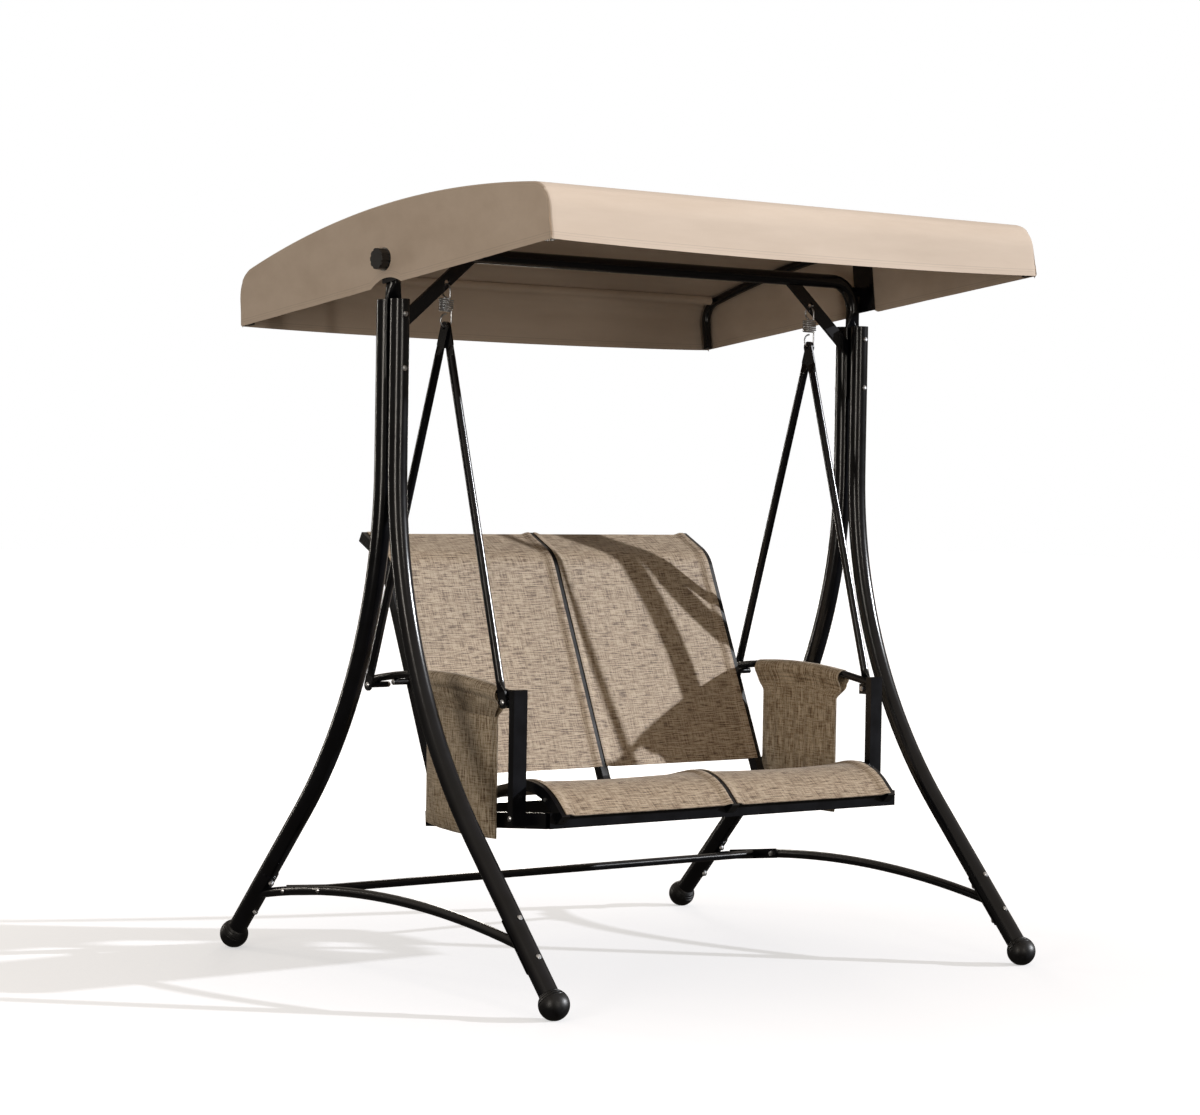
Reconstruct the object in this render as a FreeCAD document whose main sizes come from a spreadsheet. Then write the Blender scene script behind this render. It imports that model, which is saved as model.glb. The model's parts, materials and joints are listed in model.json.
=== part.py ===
import FreeCAD, Part
import math
import os
import re
import Sketcher

# Two-seat canopy glider swing. Millimetres and degrees. +X to the sitter's right seen from the
# front, the sitter faces -Y, +Z up. The origin is on the floor, midway between the four feet.

doc = FreeCAD.newDocument("glider_swing")
dims = doc.addObject("Spreadsheet::Sheet", "dims")

SIZES = {
    # side frames: two bent legs each, standing in a YZ plane
    "leg_span": 1600, "leg_od": 50, "leg_wall": 1.5, "leg_top": 1735,
    "leg_bend_top": 1316, "leg_bend_radius": 1374, "leg_splay": 41.8,
    "foot_od": 77, "foot_flat": 1.5, "socket_gap": 0.1, "groove_wire": 1.6,
    "stretcher_od": 25, "stretcher_wall": 1.5, "stretcher_end": 156, "stretcher_rise": 57,
    "saddle_length": 150, "saddle_thickness": 2.5, "saddle_cover": 10, "saddle_bolt_pitch": 114,
    "crossbar_od": 22, "crossbar_wall": 1.5, "crossbar_y": 367,
    "endplate_length": 205, "endplate_height": 28, "endplate_thickness": 3, "endplate_bolt_pitch": 167,
    # top beam, its flattened ends between the legs, and the two braces that carry the springs
    "beam_od": 38, "beam_wall": 1.5, "beam_rise": 125, "beam_bend_radius": 80, "weld_gap": 0.2,
    "tongue_width": 50, "tongue_thickness": 9.1, "tongue_length": 200, "flatten_length": 40,
    "tongue_bolt_drop": 38, "tongue_bolt_pitch": 137,
    "brace_width": 35, "brace_thickness": 10, "brace_angle": 39.5, "brace_drop": 59,
    "hook_inset": 166, "hook_drop": 75, "hook_hole": 12, "hook_flare": 3.2, "hook_gap": 0.3,
    # springs
    "wire": 4.5, "coil_radius": 17, "coil_turns": 5.75, "coil_pitch": 5.4, "coil_drop": 38,
    # hanger arms
    "arm_od": 22, "arm_wall": 1.5, "tip_width": 32, "tip_thickness": 5, "tip_spread": 3, "tip_hole": 10,
    "apex_drop": 115, "upper_tip": 50, "lower_tip": 26, "arm_taper": 26,
    "front_arm_inset": 168, "front_arm_y": -266, "front_arm_z": 723,
    "rear_arm_inset": 150, "rear_arm_y": 300,
    # armrests and posts
    "armrest_inset": 184, "armrest_od": 20, "armrest_wall": 1.5, "armrest_z": 774,
    "armrest_radius": 1580, "armrest_peak": 36, "armrest_rear": 318, "tab_width": 30, "tab_thickness": 5,
    "sleeve_od": 16, "sleeve_sink": 0.5, "post_width": 42, "post_depth": 21, "post_wall": 1.5,
    "post_top": 757, "post_bottom": 415, "post_y": -307.5, "post_bolt_z": 434,
    # seat frame and sling rails
    "rail_inset": 237.5, "rail_width": 25, "rail_height": 28, "rail_wall": 1.5, "cap_thickness": 2,
    "corner_y": 88, "corner_z": 429, "corner_radius": 60, "seat_angle": 13, "back_angle": 22.6,
    "back_straight_z": 1042, "roll_radius": 80, "roll_angle": 62, "roll_straight": 85,
    "crest_y": -260, "front_radius": 150, "front_angle": 45, "front_straight": 42,
    "base_width": 20, "base_height": 40, "base_wall": 1.5, "base_front": -418, "base_top": 456,
    "base_slope": 4.5, "base_rear": 110, "rear_rail_y": 54, "rear_rail_top": 432,
    "spreader_od": 16, "spreader_wall": 1.2, "spreader_z": 930, "spreader_set": 3,
    # slings and pouches
    "sling_thickness": 1.6, "sling_rise": 9, "back_sling_bottom": 500,
    "pouch_width": 345, "pouch_bag_width": 300, "pouch_wall": 2, "pouch_loop_od": 46, "pouch_sag": 10.7,
    "pouch_bottom": 370, "pouch_mouth": 695, "pouch_depth": 34, "pouch_inset": 10,
    "left_pouch_y": -64, "right_pouch_y": -12,
    # canopy, in its own frame about the tilt axis
    "pivot_drop": 25, "canopy_tilt": 7.2, "canopy_overhang": 29, "canopy_thickness": 1.5,
    "canopy_half_depth": 683, "canopy_drop": 67, "canopy_peak": 140, "canopy_arch_radius": 3350,
    "canopy_corner": 55, "notch_radius": 122, "notch_height": 19, "fabric_gap": 0.3,
    "hoop_od": 25, "hoop_wall": 1.2, "hoop_bend": 60, "hoop_half_depth": 657, "hoop_foot": 64,
    "bow_od": 19, "bow_wall": 1.2,
    "plate_thickness": 4, "plate_front": 58, "plate_rear": 18, "plate_drop": 60,
    "boss_od": 26, "boss_gap": 0.4, "stud_od": 8, "stud_gap": 0.05, "washer_od": 60,
    "washer_thickness": 1.6, "knob_od": 54, "knob_length": 24, "knob_cap": 5, "flute_radius": 5,
    # fasteners
    "bolt_od": 7.8, "bolt_hole": 8.4, "head_od": 14, "head_height": 4.5, "nut_width": 13, "nut_height": 6.5,
    "screw_od": 5, "screw_head": 9, "screw_length": 8,
}
for row, (name, size) in enumerate(SIZES.items(), start=1):
    dims.set(f"A{row}", name)
    dims.set(f"B{row}", str(size))
    dims.setAlias(f"B{row}", name)
doc.recompute()

NAME = re.compile(r"\b[a-z_]+\b")
SIDES = (("left", -1), ("right", 1))
ENDS = (("front", -1), ("rear", 1))
nodes = {}


def full(formula):
    """A formula written with size names becomes an expression that reads the sheet."""
    return NAME.sub(lambda word: "dims." + word[0] if word[0] in SIZES else word[0], str(formula))


def value(formula):
    return float(dims.evalExpression(full(formula)))


def place(thing, x="0", y="0", z="0", axis=None, angle="0"):
    """Put an object at a point, turned about one axis; every number stays tied to the sheet."""
    turn = FreeCAD.Rotation(FreeCAD.Vector(*(axis or (0, 0, 1))), value(angle))
    thing.Placement = FreeCAD.Placement(FreeCAD.Vector(), turn)
    for letter, formula in zip("xyz", (x, y, z)):
        thing.setExpression(f"Placement.Base.{letter}", full(formula))
    if axis:
        thing.setExpression("Placement.Rotation.Angle", full(angle))
    return thing


def new(kind, name, **sizes):
    thing = doc.addObject(kind, name)
    for prop, formula in sizes.items():
        thing.setExpression(prop, full(formula))
    return thing


def box(name, x, y, z, length, width, height):
    return place(new("Part::Box", name, Length=length, Width=width, Height=height), x, y, z)


def side_box(name, sx, inner, outer, y, z, width, height):
    """A box on one side of the swing, between two distances from the middle plane."""
    near = inner if sx > 0 else f"-({outer})"
    return box(name, near, y, z, f"({outer}) - ({inner})", width, height)


def rod(name, radius, height, x="0", y="0", z="0", axis=None, angle="0"):
    return place(new("Part::Cylinder", name, Radius=radius, Height=height), x, y, z, axis, angle)


def rod_x(name, radius, x_from, x_to, y, z):
    return rod(name, radius, f"({x_to}) - ({x_from})", x_from, y, z, (0, 1, 0), "90")


def side_rod(name, radius, sx, inner, outer, y, z):
    """A cylinder along X on one side, between two distances from the middle plane."""
    near = inner if sx > 0 else f"-({outer})"
    return rod(name, radius, f"({outer}) - ({inner})", near, y, z, (0, 1, 0), "90")


def rod_y(name, radius, y_from, y_to, x, z):
    return rod(name, radius, f"({y_to}) - ({y_from})", x, y_from, z, (1, 0, 0), "-90")


def fuse(name, parts):
    joined = doc.addObject("Part::MultiFuse", name)
    joined.Shapes = parts
    return joined


def cut(name, base, tools):
    result = doc.addObject("Part::Cut", name)
    result.Base = base
    result.Tool = tools[0] if len(tools) == 1 else fuse(name + "_tools", tools)
    return result


def group(name, parts):
    bundle = doc.addObject("Part::Compound", name)
    bundle.Links = parts
    return bundle


def node(label, thing):
    """A finished sub-part; its label is the name of its file."""
    thing.Label = label
    nodes[label] = thing
    return thing


def constrain(sketch, constraint, formula=None):
    index = sketch.addConstraint(constraint)
    if formula is not None:
        sketch.setExpression(f"Constraints[{index}]", full(formula))


def pin(sketch, edge, end, point):
    for kind, formula in zip(("DistanceX", "DistanceY"), point):
        constrain(sketch, Sketcher.Constraint(kind, -1, 1, edge, end, value(formula)), formula)


def vector(point):
    return FreeCAD.Vector(value(point[0]), value(point[1]), 0)


def new_sketch(body, name, plane):
    sketch = body.newObject("Sketcher::SketchObject", name)
    sketch.AttachmentSupport = next(f for f in body.Origin.OriginFeatures if f.Role == plane)
    sketch.MapMode = "FlatFace"
    return sketch


def arc_between(start, end, radius, turns_left):
    """The short arc of a radius from start to end, turning left or right on its way."""
    chord = end - start
    normal = FreeCAD.Vector(-chord.y, chord.x, 0).normalize() * (1 if turns_left else -1)
    centre = (start + end) * 0.5 + normal * math.sqrt(radius ** 2 - (chord.Length / 2) ** 2)
    return Part.Arc(start, centre - normal * radius, end)


def draw(sketch, points, radii):
    """Edges through points: None is a straight one, "+r" an arc that turns left, "-r" right."""
    for edge, (start, end, radius) in enumerate(zip(points, points[1:], radii)):
        a, b = vector(start), vector(end)
        first, last = 1, 2
        if radius is None:
            sketch.addGeometry(Part.LineSegment(a, b), False)
        else:
            size = radius[1:]
            sketch.addGeometry(arc_between(a, b, value(size), radius[0] == "+"), False)
            if (sketch.getPoint(edge, 1) - a).Length > 1e-6:
                first, last = 2, 1
            constrain(sketch, Sketcher.Constraint("Radius", edge, value(size)), size)
        pin(sketch, edge, first, start)
        pin(sketch, edge, last, end)


def rectangle(sketch, u0, v0, u1, v1):
    """A closed rectangle added to a sketch, its corners tied to formulas."""
    corners = [(u0, v0), (u1, v0), (u1, v1), (u0, v1)]
    first = sketch.GeometryCount
    for i in range(4):
        start, end = corners[i], corners[(i + 1) % 4]
        sketch.addGeometry(Part.LineSegment(vector(start), vector(end)), False)
        pin(sketch, first + i, 1, start)
        pin(sketch, first + i, 2, end)


def circle(sketch, edge, od):
    sketch.addGeometry(Part.Circle(FreeCAD.Vector(), FreeCAD.Vector(0, 0, 1), value(od) / 2), False)
    constrain(sketch, Sketcher.Constraint("Coincident", edge, 3, -1, 1))
    constrain(sketch, Sketcher.Constraint("Diameter", edge, value(od)), od)


def round_section(od, wall=None):
    def fill(sketch):
        circle(sketch, 0, od)
        if wall:
            circle(sketch, 1, f"{od} - 2 * {wall}")
    return fill


def box_section(width, height, wall=None):
    def fill(sketch):
        rectangle(sketch, f"-{width} / 2", f"-{height} / 2", f"{width} / 2", f"{height} / 2")
        if wall:
            u, v = f"({width} / 2 - {wall})", f"({height} / 2 - {wall})"
            rectangle(sketch, f"-{u}", f"-{v}", u, v)
    return fill


def pipe(name, path, radii, section, x="0", plane="YZ_Plane"):
    """A section swept along a flat path of straight runs and arcs, in a body of its own."""
    body = doc.addObject("PartDesign::Body", name)
    spine = new_sketch(body, name + "_path", plane)
    draw(spine, path, radii)
    profile = body.newObject("Sketcher::SketchObject", name + "_section")
    profile.AttachmentSupport = [(spine, "Edge1")]
    profile.MapMode = "NormalToEdge"
    section(profile)
    sweep = body.newObject("PartDesign::AdditivePipe", name + "_sweep")
    sweep.Profile = profile
    sweep.Spine = spine
    return place(body, x)


def pad(name, plane, length, fill, x="0", y="0", z="0", axis=None, angle="0"):
    """A flat outline given equal thickness to both sides of its plane, in a body of its own."""
    body = doc.addObject("PartDesign::Body", name)
    sketch = new_sketch(body, name + "_outline", plane)
    fill(sketch)
    feature = body.newObject("PartDesign::Pad", name + "_pad")
    feature.Profile = sketch
    feature.SideType = "Symmetric"
    feature.setExpression("Length", full(length))
    return place(body, x, y, z, axis, angle)


def taper(name, od, width, thickness, length, across_y, x="0", z="0", axis=None, angle="0"):
    """The stretch where a round tube is pressed flat: flat at its foot, round at its top.

    A loft from a flat outline to a circle has no primitive, so this shape is set directly."""
    def at(u, v, height):
        return FreeCAD.Vector(v, u, height) if across_y else FreeCAD.Vector(u, v, height)

    r, half = value(thickness) / 2, value(width) / 2
    side = half - r
    flat = [((side, -r), (half, 0), (side, r)), ((side, r), (0, r), (-side, r)),
            ((-side, r), (-half, 0), (-side, -r)), ((-side, -r), (0, -r), (side, -r))]
    radius = value(od) / 2
    turns = [(-50, 0, 50), (50, 90, 130), (130, 180, 230), (230, 270, 310)]
    round_edges = [Part.Arc(*(at(radius * math.cos(math.radians(t)), radius * math.sin(math.radians(t)),
                                 value(length)) for t in turn)) for turn in turns]
    flat_edges = [Part.Arc(*(at(*p, 0) for p in edge)) if i % 2 == 0 else
                  Part.LineSegment(at(*edge[0], 0), at(*edge[2], 0)) for i, edge in enumerate(flat)]
    wires = [Part.Wire([edge.toShape() for edge in edges]) for edges in (flat_edges, round_edges)]
    thing = doc.addObject("Part::Feature", name)
    thing.Shape = Part.makeLoft(wires, True)
    return place(thing, x, "0", z, axis, angle)


def bolt(name, grip, x, y, z, axis, angle):
    """A button-head bolt and its nut. Local +Z runs from under the head through the grip."""
    shank = rod(name + "_shank", "bolt_od / 2", f"{grip} + nut_height + 3")
    rim = rod(name + "_rim", "head_od / 2", "head_height / 3", z="-head_height / 3")
    dome = new("Part::Cone", name + "_dome", Radius1="head_od / 4", Radius2="head_od / 2",
               Height="head_height * 2 / 3")
    place(dome, z="-head_height")
    hexagon = new("Part::Prism", name + "_hexagon", Circumradius="nut_width / 2 / cos(30)",
                  Height="nut_height")
    place(hexagon, z=grip)
    thread = rod(name + "_thread", "bolt_od / 2", "nut_height", z=grip)
    both = [fuse(name + "_bolt", [shank, rim, dome]), cut(name + "_nut", hexagon, [thread])]
    return [place(thing, x, y, z, axis, angle) for thing in both]


def side_bolt(name, sx, inner, outer, y, z):
    """A bolt along X on one side of the swing, its head on the outside."""
    return bolt(name, f"(({outer}) - ({inner}))", f"{sx} * ({outer})", y, z, (0, 1, 0), f"{-sx} * 90")


# ---------------------------------------------------------------- side frames: legs
# Each leg is a straight tube above and a wide bend below that ends in a straight, splayed run.
LEG_X = "(leg_span / 2)"
LEG_Y = "(leg_od / 2 + tongue_thickness / 2 + weld_gap)"
FOOT_Z = "(foot_od / 2 - foot_flat)"
BEND_OUT = "(leg_bend_radius * (1 - cos(leg_splay)))"
BEND_END_Z = "(leg_bend_top - leg_bend_radius * sin(leg_splay))"
FOOT_OUT = f"({BEND_OUT} + ({BEND_END_Z} - {FOOT_Z}) * tan(leg_splay))"
FOOT_Y = f"({LEG_Y} + {FOOT_OUT})"
SADDLE_Z = "(stretcher_end + 14)"
SADDLE_BOLTS = ("(saddle_bolt_pitch / 2)", "(-saddle_bolt_pitch / 2)")
TONGUE_BOLTS = ("(leg_top - tongue_bolt_drop)", "(leg_top - tongue_bolt_drop - tongue_bolt_pitch)")


def run_y(z):
    """How far out the splayed run's centre line is at a height."""
    return f"({FOOT_Y} - (({z}) - {FOOT_Z}) * tan(leg_splay))"


def run_point(offset):
    """A point on the splayed run's centre line, measured along it from the saddle's middle."""
    z = f"({SADDLE_Z} + {offset} * cos(leg_splay))"
    return run_y(z), z


def saddle_bolt_line(name, sx, sy, offset):
    """The hole of a bolt that crosses the splayed run at right angles, from the outside in."""
    y, z = run_point(offset)
    return rod(name, "bolt_hole / 2", "2 * leg_od", f"{sx} * {LEG_X}",
               f"{sy} * ({y} + leg_od * cos(leg_splay))", f"{z} + leg_od * sin(leg_splay)",
               (1, 0, 0), f"{sy} * (90 + leg_splay)")


def run_rod(name, radius, length, sx, sy):
    """A rod round the splayed run's centre line, centred on the saddle."""
    y, z = run_point(f"(-{length} / 2)")
    return rod(name, radius, length, f"{sx} * {LEG_X}", f"{sy} * {y}", z, (1, 0, 0), f"{sy} * leg_splay")


leg_bolts = []
for side, sx in SIDES:
    for end, sy in ENDS:
        name = f"leg_{end}_{side}"
        path = [("0", "leg_top"), ("0", "leg_bend_top"), (f"{sy} * {BEND_OUT}", BEND_END_Z),
                (f"{sy} * {FOOT_OUT}", FOOT_Z)]
        bend = "+leg_bend_radius" if sy > 0 else "-leg_bend_radius"
        tube = pipe(name + "_tube", path, [None, bend, None], round_section("leg_od", "leg_wall"))
        place(tube, f"{sx} * {LEG_X}", f"{sy} * {LEG_Y}")
        holes = [rod_y(f"{name}_hole{i}", "bolt_hole / 2", f"{sy} * {LEG_Y} - leg_od",
                       f"{sy} * {LEG_Y} + leg_od", f"{sx} * {LEG_X}", z)
                 for i, z in enumerate(TONGUE_BOLTS)]
        for i, offset in enumerate(SADDLE_BOLTS):
            holes.append(saddle_bolt_line(f"{name}_saddle_hole{i}", sx, sy, offset))
            y, z = run_point(offset)
            leg_bolts += bolt(f"{name}_bolt{i}", "(leg_od + weld_gap + saddle_thickness)",
                              f"{sx} * {LEG_X}", f"{sy} * ({y} + leg_od / 2 * cos(leg_splay))",
                              f"{z} + leg_od / 2 * sin(leg_splay)", (1, 0, 0), f"{sy} * (90 + leg_splay)")
        node(name, cut(name, tube, holes))
node("leg_bolts", group("leg_bolts", leg_bolts))

# ---------------------------------------------------------------- side frames: ball feet
# A moulded ball with three grooves round the leg, a socket for the tube and a small flat below.
GROOVES = (15, 27, 39)
for side, sx in SIDES:
    for end, sy in ENDS:
        name = f"foot_{end}_{side}"
        ball = new("Part::Sphere", name + "_ball", Radius="foot_od / 2")
        tools = [rod(name + "_socket", "leg_od / 2 + socket_gap", "foot_od")]
        for latitude in GROOVES:
            ring = new("Part::Torus", f"{name}_groove{latitude}", Radius2="groove_wire",
                       Radius1=f"foot_od / 2 * cos({latitude})")
            tools.append(place(ring, z=f"foot_od / 2 * sin({latitude})"))
        turned = place(cut(name + "_turned", ball, tools), f"{sx} * {LEG_X}", f"{sy} * {FOOT_Y}", FOOT_Z,
                       (1, 0, 0), f"{sy} * leg_splay")
        floor = box(name + "_floor", f"{sx} * {LEG_X} - foot_od", f"{sy} * {FOOT_Y} - foot_od",
                    "-foot_od", "2 * foot_od", "2 * foot_od", "foot_od")
        node(name, cut(name, turned, [floor]))

# ---------------------------------------------------------------- side frames: stretchers
# An upward bowed tube with a curved saddle welded to each end, bolted to the legs.
END_Y = run_y("stretcher_end")
BOW_RADIUS = f"((({END_Y}) ^ 2 + stretcher_rise ^ 2) / (2 * stretcher_rise))"
PLATE_Z = f"(stretcher_end + stretcher_rise - {BOW_RADIUS} + sqrt({BOW_RADIUS} ^ 2 - crossbar_y ^ 2))"
PLATE_SLOPE = f"asin(crossbar_y / {BOW_RADIUS})"
PLATE_FACE = f"({LEG_X} - stretcher_od / 2 - endplate_thickness)"
PLATE_BOLTS = []
for offset in ("(endplate_bolt_pitch / 2)", "(-endplate_bolt_pitch / 2)"):
    PLATE_BOLTS.append((f"(crossbar_y + {offset} * cos({PLATE_SLOPE}))",
                        f"({PLATE_Z} - {offset} * sin({PLATE_SLOPE}))"))

for side, sx in SIDES:
    name = f"stretcher_{side}"
    bow_ends = [(f"-{END_Y}", "stretcher_end"), (END_Y, "stretcher_end")]
    pieces = [pipe(name + "_bow", bow_ends, ["-" + BOW_RADIUS],
                   round_section("stretcher_od", "stretcher_wall"), f"{sx} * {LEG_X}")]
    tools = []
    for end, sy in ENDS:
        blank = rod(f"{name}_{end}_blank", "leg_od / 2 + weld_gap + saddle_thickness", "saddle_length",
                    z="-saddle_length / 2")
        away = box(f"{name}_{end}_away", "-leg_od", "-saddle_cover" if sy > 0 else "saddle_cover - 2 * leg_od",
                   "-saddle_length", "2 * leg_od", "2 * leg_od", "2 * saddle_length")
        y, z = run_point("0")
        pieces.append(place(cut(f"{name}_{end}_saddle", blank, [away]), f"{sx} * {LEG_X}", f"{sy} * {y}", z,
                            (1, 0, 0), f"{sy} * leg_splay"))
        tools.append(run_rod(f"{name}_{end}_leg", "leg_od / 2 + weld_gap", "(2 * saddle_length)", sx, sy))
        for i, offset in enumerate(SADDLE_BOLTS):
            tools.append(saddle_bolt_line(f"{name}_{end}_hole{i}", sx, sy, offset))
    for i, (y, z) in enumerate(PLATE_BOLTS):
        tools.append(side_rod(f"{name}_plate_hole{i}", "bolt_hole / 2", sx, f"{LEG_X} - leg_od",
                              f"{LEG_X} + leg_od", y, z))
    node(name, cut(name, fuse(name + "_welded", pieces), tools))

# ---------------------------------------------------------------- side frames: crossbar
# One straight tube from side to side, with a flat plate welded across each end.
pieces = [rod_x("crossbar_tube", "crossbar_od / 2", f"-{PLATE_FACE}", PLATE_FACE, "crossbar_y", PLATE_Z)]
tools = [rod_x("crossbar_bore", "crossbar_od / 2 - crossbar_wall", f"-{PLATE_FACE}", PLATE_FACE,
               "crossbar_y", PLATE_Z)]
crossbar_bolts = []
for side, sx in SIDES:
    pieces.append(pad(f"crossbar_plate_{side}", "YZ_Plane", "endplate_thickness",
                      box_section("endplate_length", "endplate_height"),
                      f"{sx} * ({PLATE_FACE} + endplate_thickness / 2)", "crossbar_y", PLATE_Z,
                      (1, 0, 0), f"-{PLATE_SLOPE}"))
    for i, (y, z) in enumerate(PLATE_BOLTS):
        tools.append(side_rod(f"crossbar_hole_{side}{i}", "bolt_hole / 2", sx, f"{LEG_X} - leg_od",
                              f"{LEG_X} + leg_od", y, z))
        crossbar_bolts += side_bolt(f"crossbar_bolt_{side}{i}", sx, PLATE_FACE,
                                    f"{LEG_X} + stretcher_od / 2", y, z)
node("crossbar", cut("crossbar", fuse("crossbar_welded", pieces), tools))
node("crossbar_bolts", group("crossbar_bolts", crossbar_bolts))

# ---------------------------------------------------------------- top beam
# A U-shaped tube; each end is pressed flat over a short taper and stands between the two legs.
BEAM_Z = "(leg_top + beam_rise)"
BEND_X = f"({LEG_X} - beam_bend_radius)"
BEND_Z = f"({BEAM_Z} - beam_bend_radius)"
TAPER_Z = "(leg_top + flatten_length)"
beam_path = [(f"-{LEG_X}", TAPER_Z), (f"-{LEG_X}", BEND_Z), (f"-{BEND_X}", BEAM_Z),
             (BEND_X, BEAM_Z), (LEG_X, BEND_Z), (LEG_X, TAPER_Z)]
beam_radii = [None, "-beam_bend_radius", None, "-beam_bend_radius", None]
beam_outer = pipe("beam_outer", beam_path, beam_radii, round_section("beam_od"), plane="XZ_Plane")
pieces = [pipe("beam_tube", beam_path, beam_radii, round_section("beam_od", "beam_wall"), plane="XZ_Plane")]
tools, tongues, upright_bolts = [], {}, []
for side, sx in SIDES:
    pieces.append(taper(f"beam_taper_{side}", "beam_od", "tongue_width", "tongue_thickness",
                        "flatten_length", False, f"{sx} * {LEG_X}", "leg_top"))
    flat = box(f"beam_flat_{side}", f"{sx} * {LEG_X} - tongue_width / 2 + tongue_thickness / 2",
               "-tongue_thickness / 2", "leg_top - tongue_length", "tongue_width - tongue_thickness",
               "tongue_thickness", "tongue_length")
    rims = [rod(f"beam_rim_{side}{i}", "tongue_thickness / 2", "tongue_length",
                f"{sx} * {LEG_X} + {edge} * (tongue_width - tongue_thickness) / 2", "0",
                "leg_top - tongue_length") for i, edge in enumerate((-1, 1))]
    tongues[side] = fuse(f"beam_tongue_{side}", [flat] + rims)
    pieces.append(tongues[side])
    for i, z in enumerate(TONGUE_BOLTS):
        tools.append(rod_y(f"beam_hole_{side}{i}", "bolt_hole / 2", "-leg_od", "leg_od",
                           f"{sx} * {LEG_X}", z))
        upright_bolts += bolt(f"upright_bolt_{side}{i}", f"(2 * {LEG_Y} + leg_od)", f"{sx} * {LEG_X}",
                              f"-{LEG_Y} - leg_od / 2", z, (1, 0, 0), "-90")
node("top_beam", cut("top_beam", fuse("top_beam_pressed", pieces), tools))
node("upright_bolts", group("upright_bolts", upright_bolts))

# ---------------------------------------------------------------- braces
# A flat bar from the beam down to each pair of legs. A flared hole near its lower edge takes the
# spring's hook, so that the hook can roll in it.
HOOK_X = f"({LEG_X} - hook_inset)"
HOOK_TOP = f"({BEAM_Z} - hook_drop)"
HOOK_HOLE_Z = f"({HOOK_TOP} - wire - hook_gap + hook_hole / 2)"
BRACE_FOOT_X = f"({LEG_X} - tongue_width / 2)"
BRACE_FOOT_Z = "(leg_top - brace_drop)"
BRACE_LENGTH = f"(({BEAM_Z} - {BRACE_FOOT_Z}) / sin(brace_angle))"


def brace_outline(sx):
    """Four corners of the bar, from inside the tongue's edge to inside the beam."""
    def corner(along, across):
        x = f"{sx} * ({BRACE_FOOT_X} - {along} * cos(brace_angle) + {across} * sin(brace_angle))"
        return x, f"{BRACE_FOOT_Z} + {along} * sin(brace_angle) + {across} * cos(brace_angle)"

    foot, half = "(-brace_width / 2)", "(brace_width / 2)"
    corners = [corner(foot, f"(-{half})"), corner(BRACE_LENGTH, f"(-{half})"),
               corner(BRACE_LENGTH, half), corner(foot, half)]
    return lambda sketch: draw(sketch, corners + corners[:1], [None] * 4)


for side, sx in SIDES:
    name = f"brace_{side}"
    bar = pad(name + "_bar", "XZ_Plane", "brace_thickness", brace_outline(sx))
    tools = [beam_outer, tongues[side],
             rod_y(name + "_hook_hole", "hook_hole / 2", "-leg_od", "leg_od", f"{sx} * {HOOK_X}", HOOK_HOLE_Z),
             side_box(name + "_beyond", sx, f"{BRACE_FOOT_X} + tongue_thickness / 2", f"{LEG_X} + leg_od",
                      "-leg_od", "leg_top - tongue_length", "2 * leg_od", "tongue_length + beam_rise")]
    for end, sy in ENDS:
        flare = new("Part::Cone", f"{name}_flare_{end}", Radius1="hook_hole / 2",
                    Radius2="hook_hole / 2 + hook_flare", Height="brace_thickness / 2")
        tools.append(place(flare, f"{sx} * {HOOK_X}", "0", HOOK_HOLE_Z, (1, 0, 0), f"{-sy} * 90"))
        tools.append(rod(f"{name}_leg_{end}", "leg_od / 2", "leg_top", f"{sx} * {LEG_X}", f"{sy} * {LEG_Y}"))
    node(name, cut(name, bar, tools))

# ---------------------------------------------------------------- tilt studs
# A boss welded on the outside of each beam bend, with the stud the canopy tilts on.
PIVOT_Z = f"({BEAM_Z} - pivot_drop)"
COVER_X = f"({LEG_X} + canopy_overhang)"
PLATE_OUT = f"({COVER_X} - canopy_thickness - fabric_gap)"
PLATE_IN = f"({PLATE_OUT} - plate_thickness)"
WASHER_X = f"({COVER_X} + fabric_gap)"
KNOB_X = f"({WASHER_X} + washer_thickness)"
for side, sx in SIDES:
    name = f"tilt_stud_{side}"
    boss = side_rod(name + "_boss", "boss_od / 2", sx, LEG_X, f"{PLATE_IN} - boss_gap", "0", PIVOT_Z)
    stud = side_rod(name + "_stud", "stud_od / 2", sx, LEG_X, f"{KNOB_X} + knob_length - knob_cap - 1", "0",
                    PIVOT_Z)
    node(name, cut(name, fuse(name + "_turned", [boss, stud]), [beam_outer]))

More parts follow.
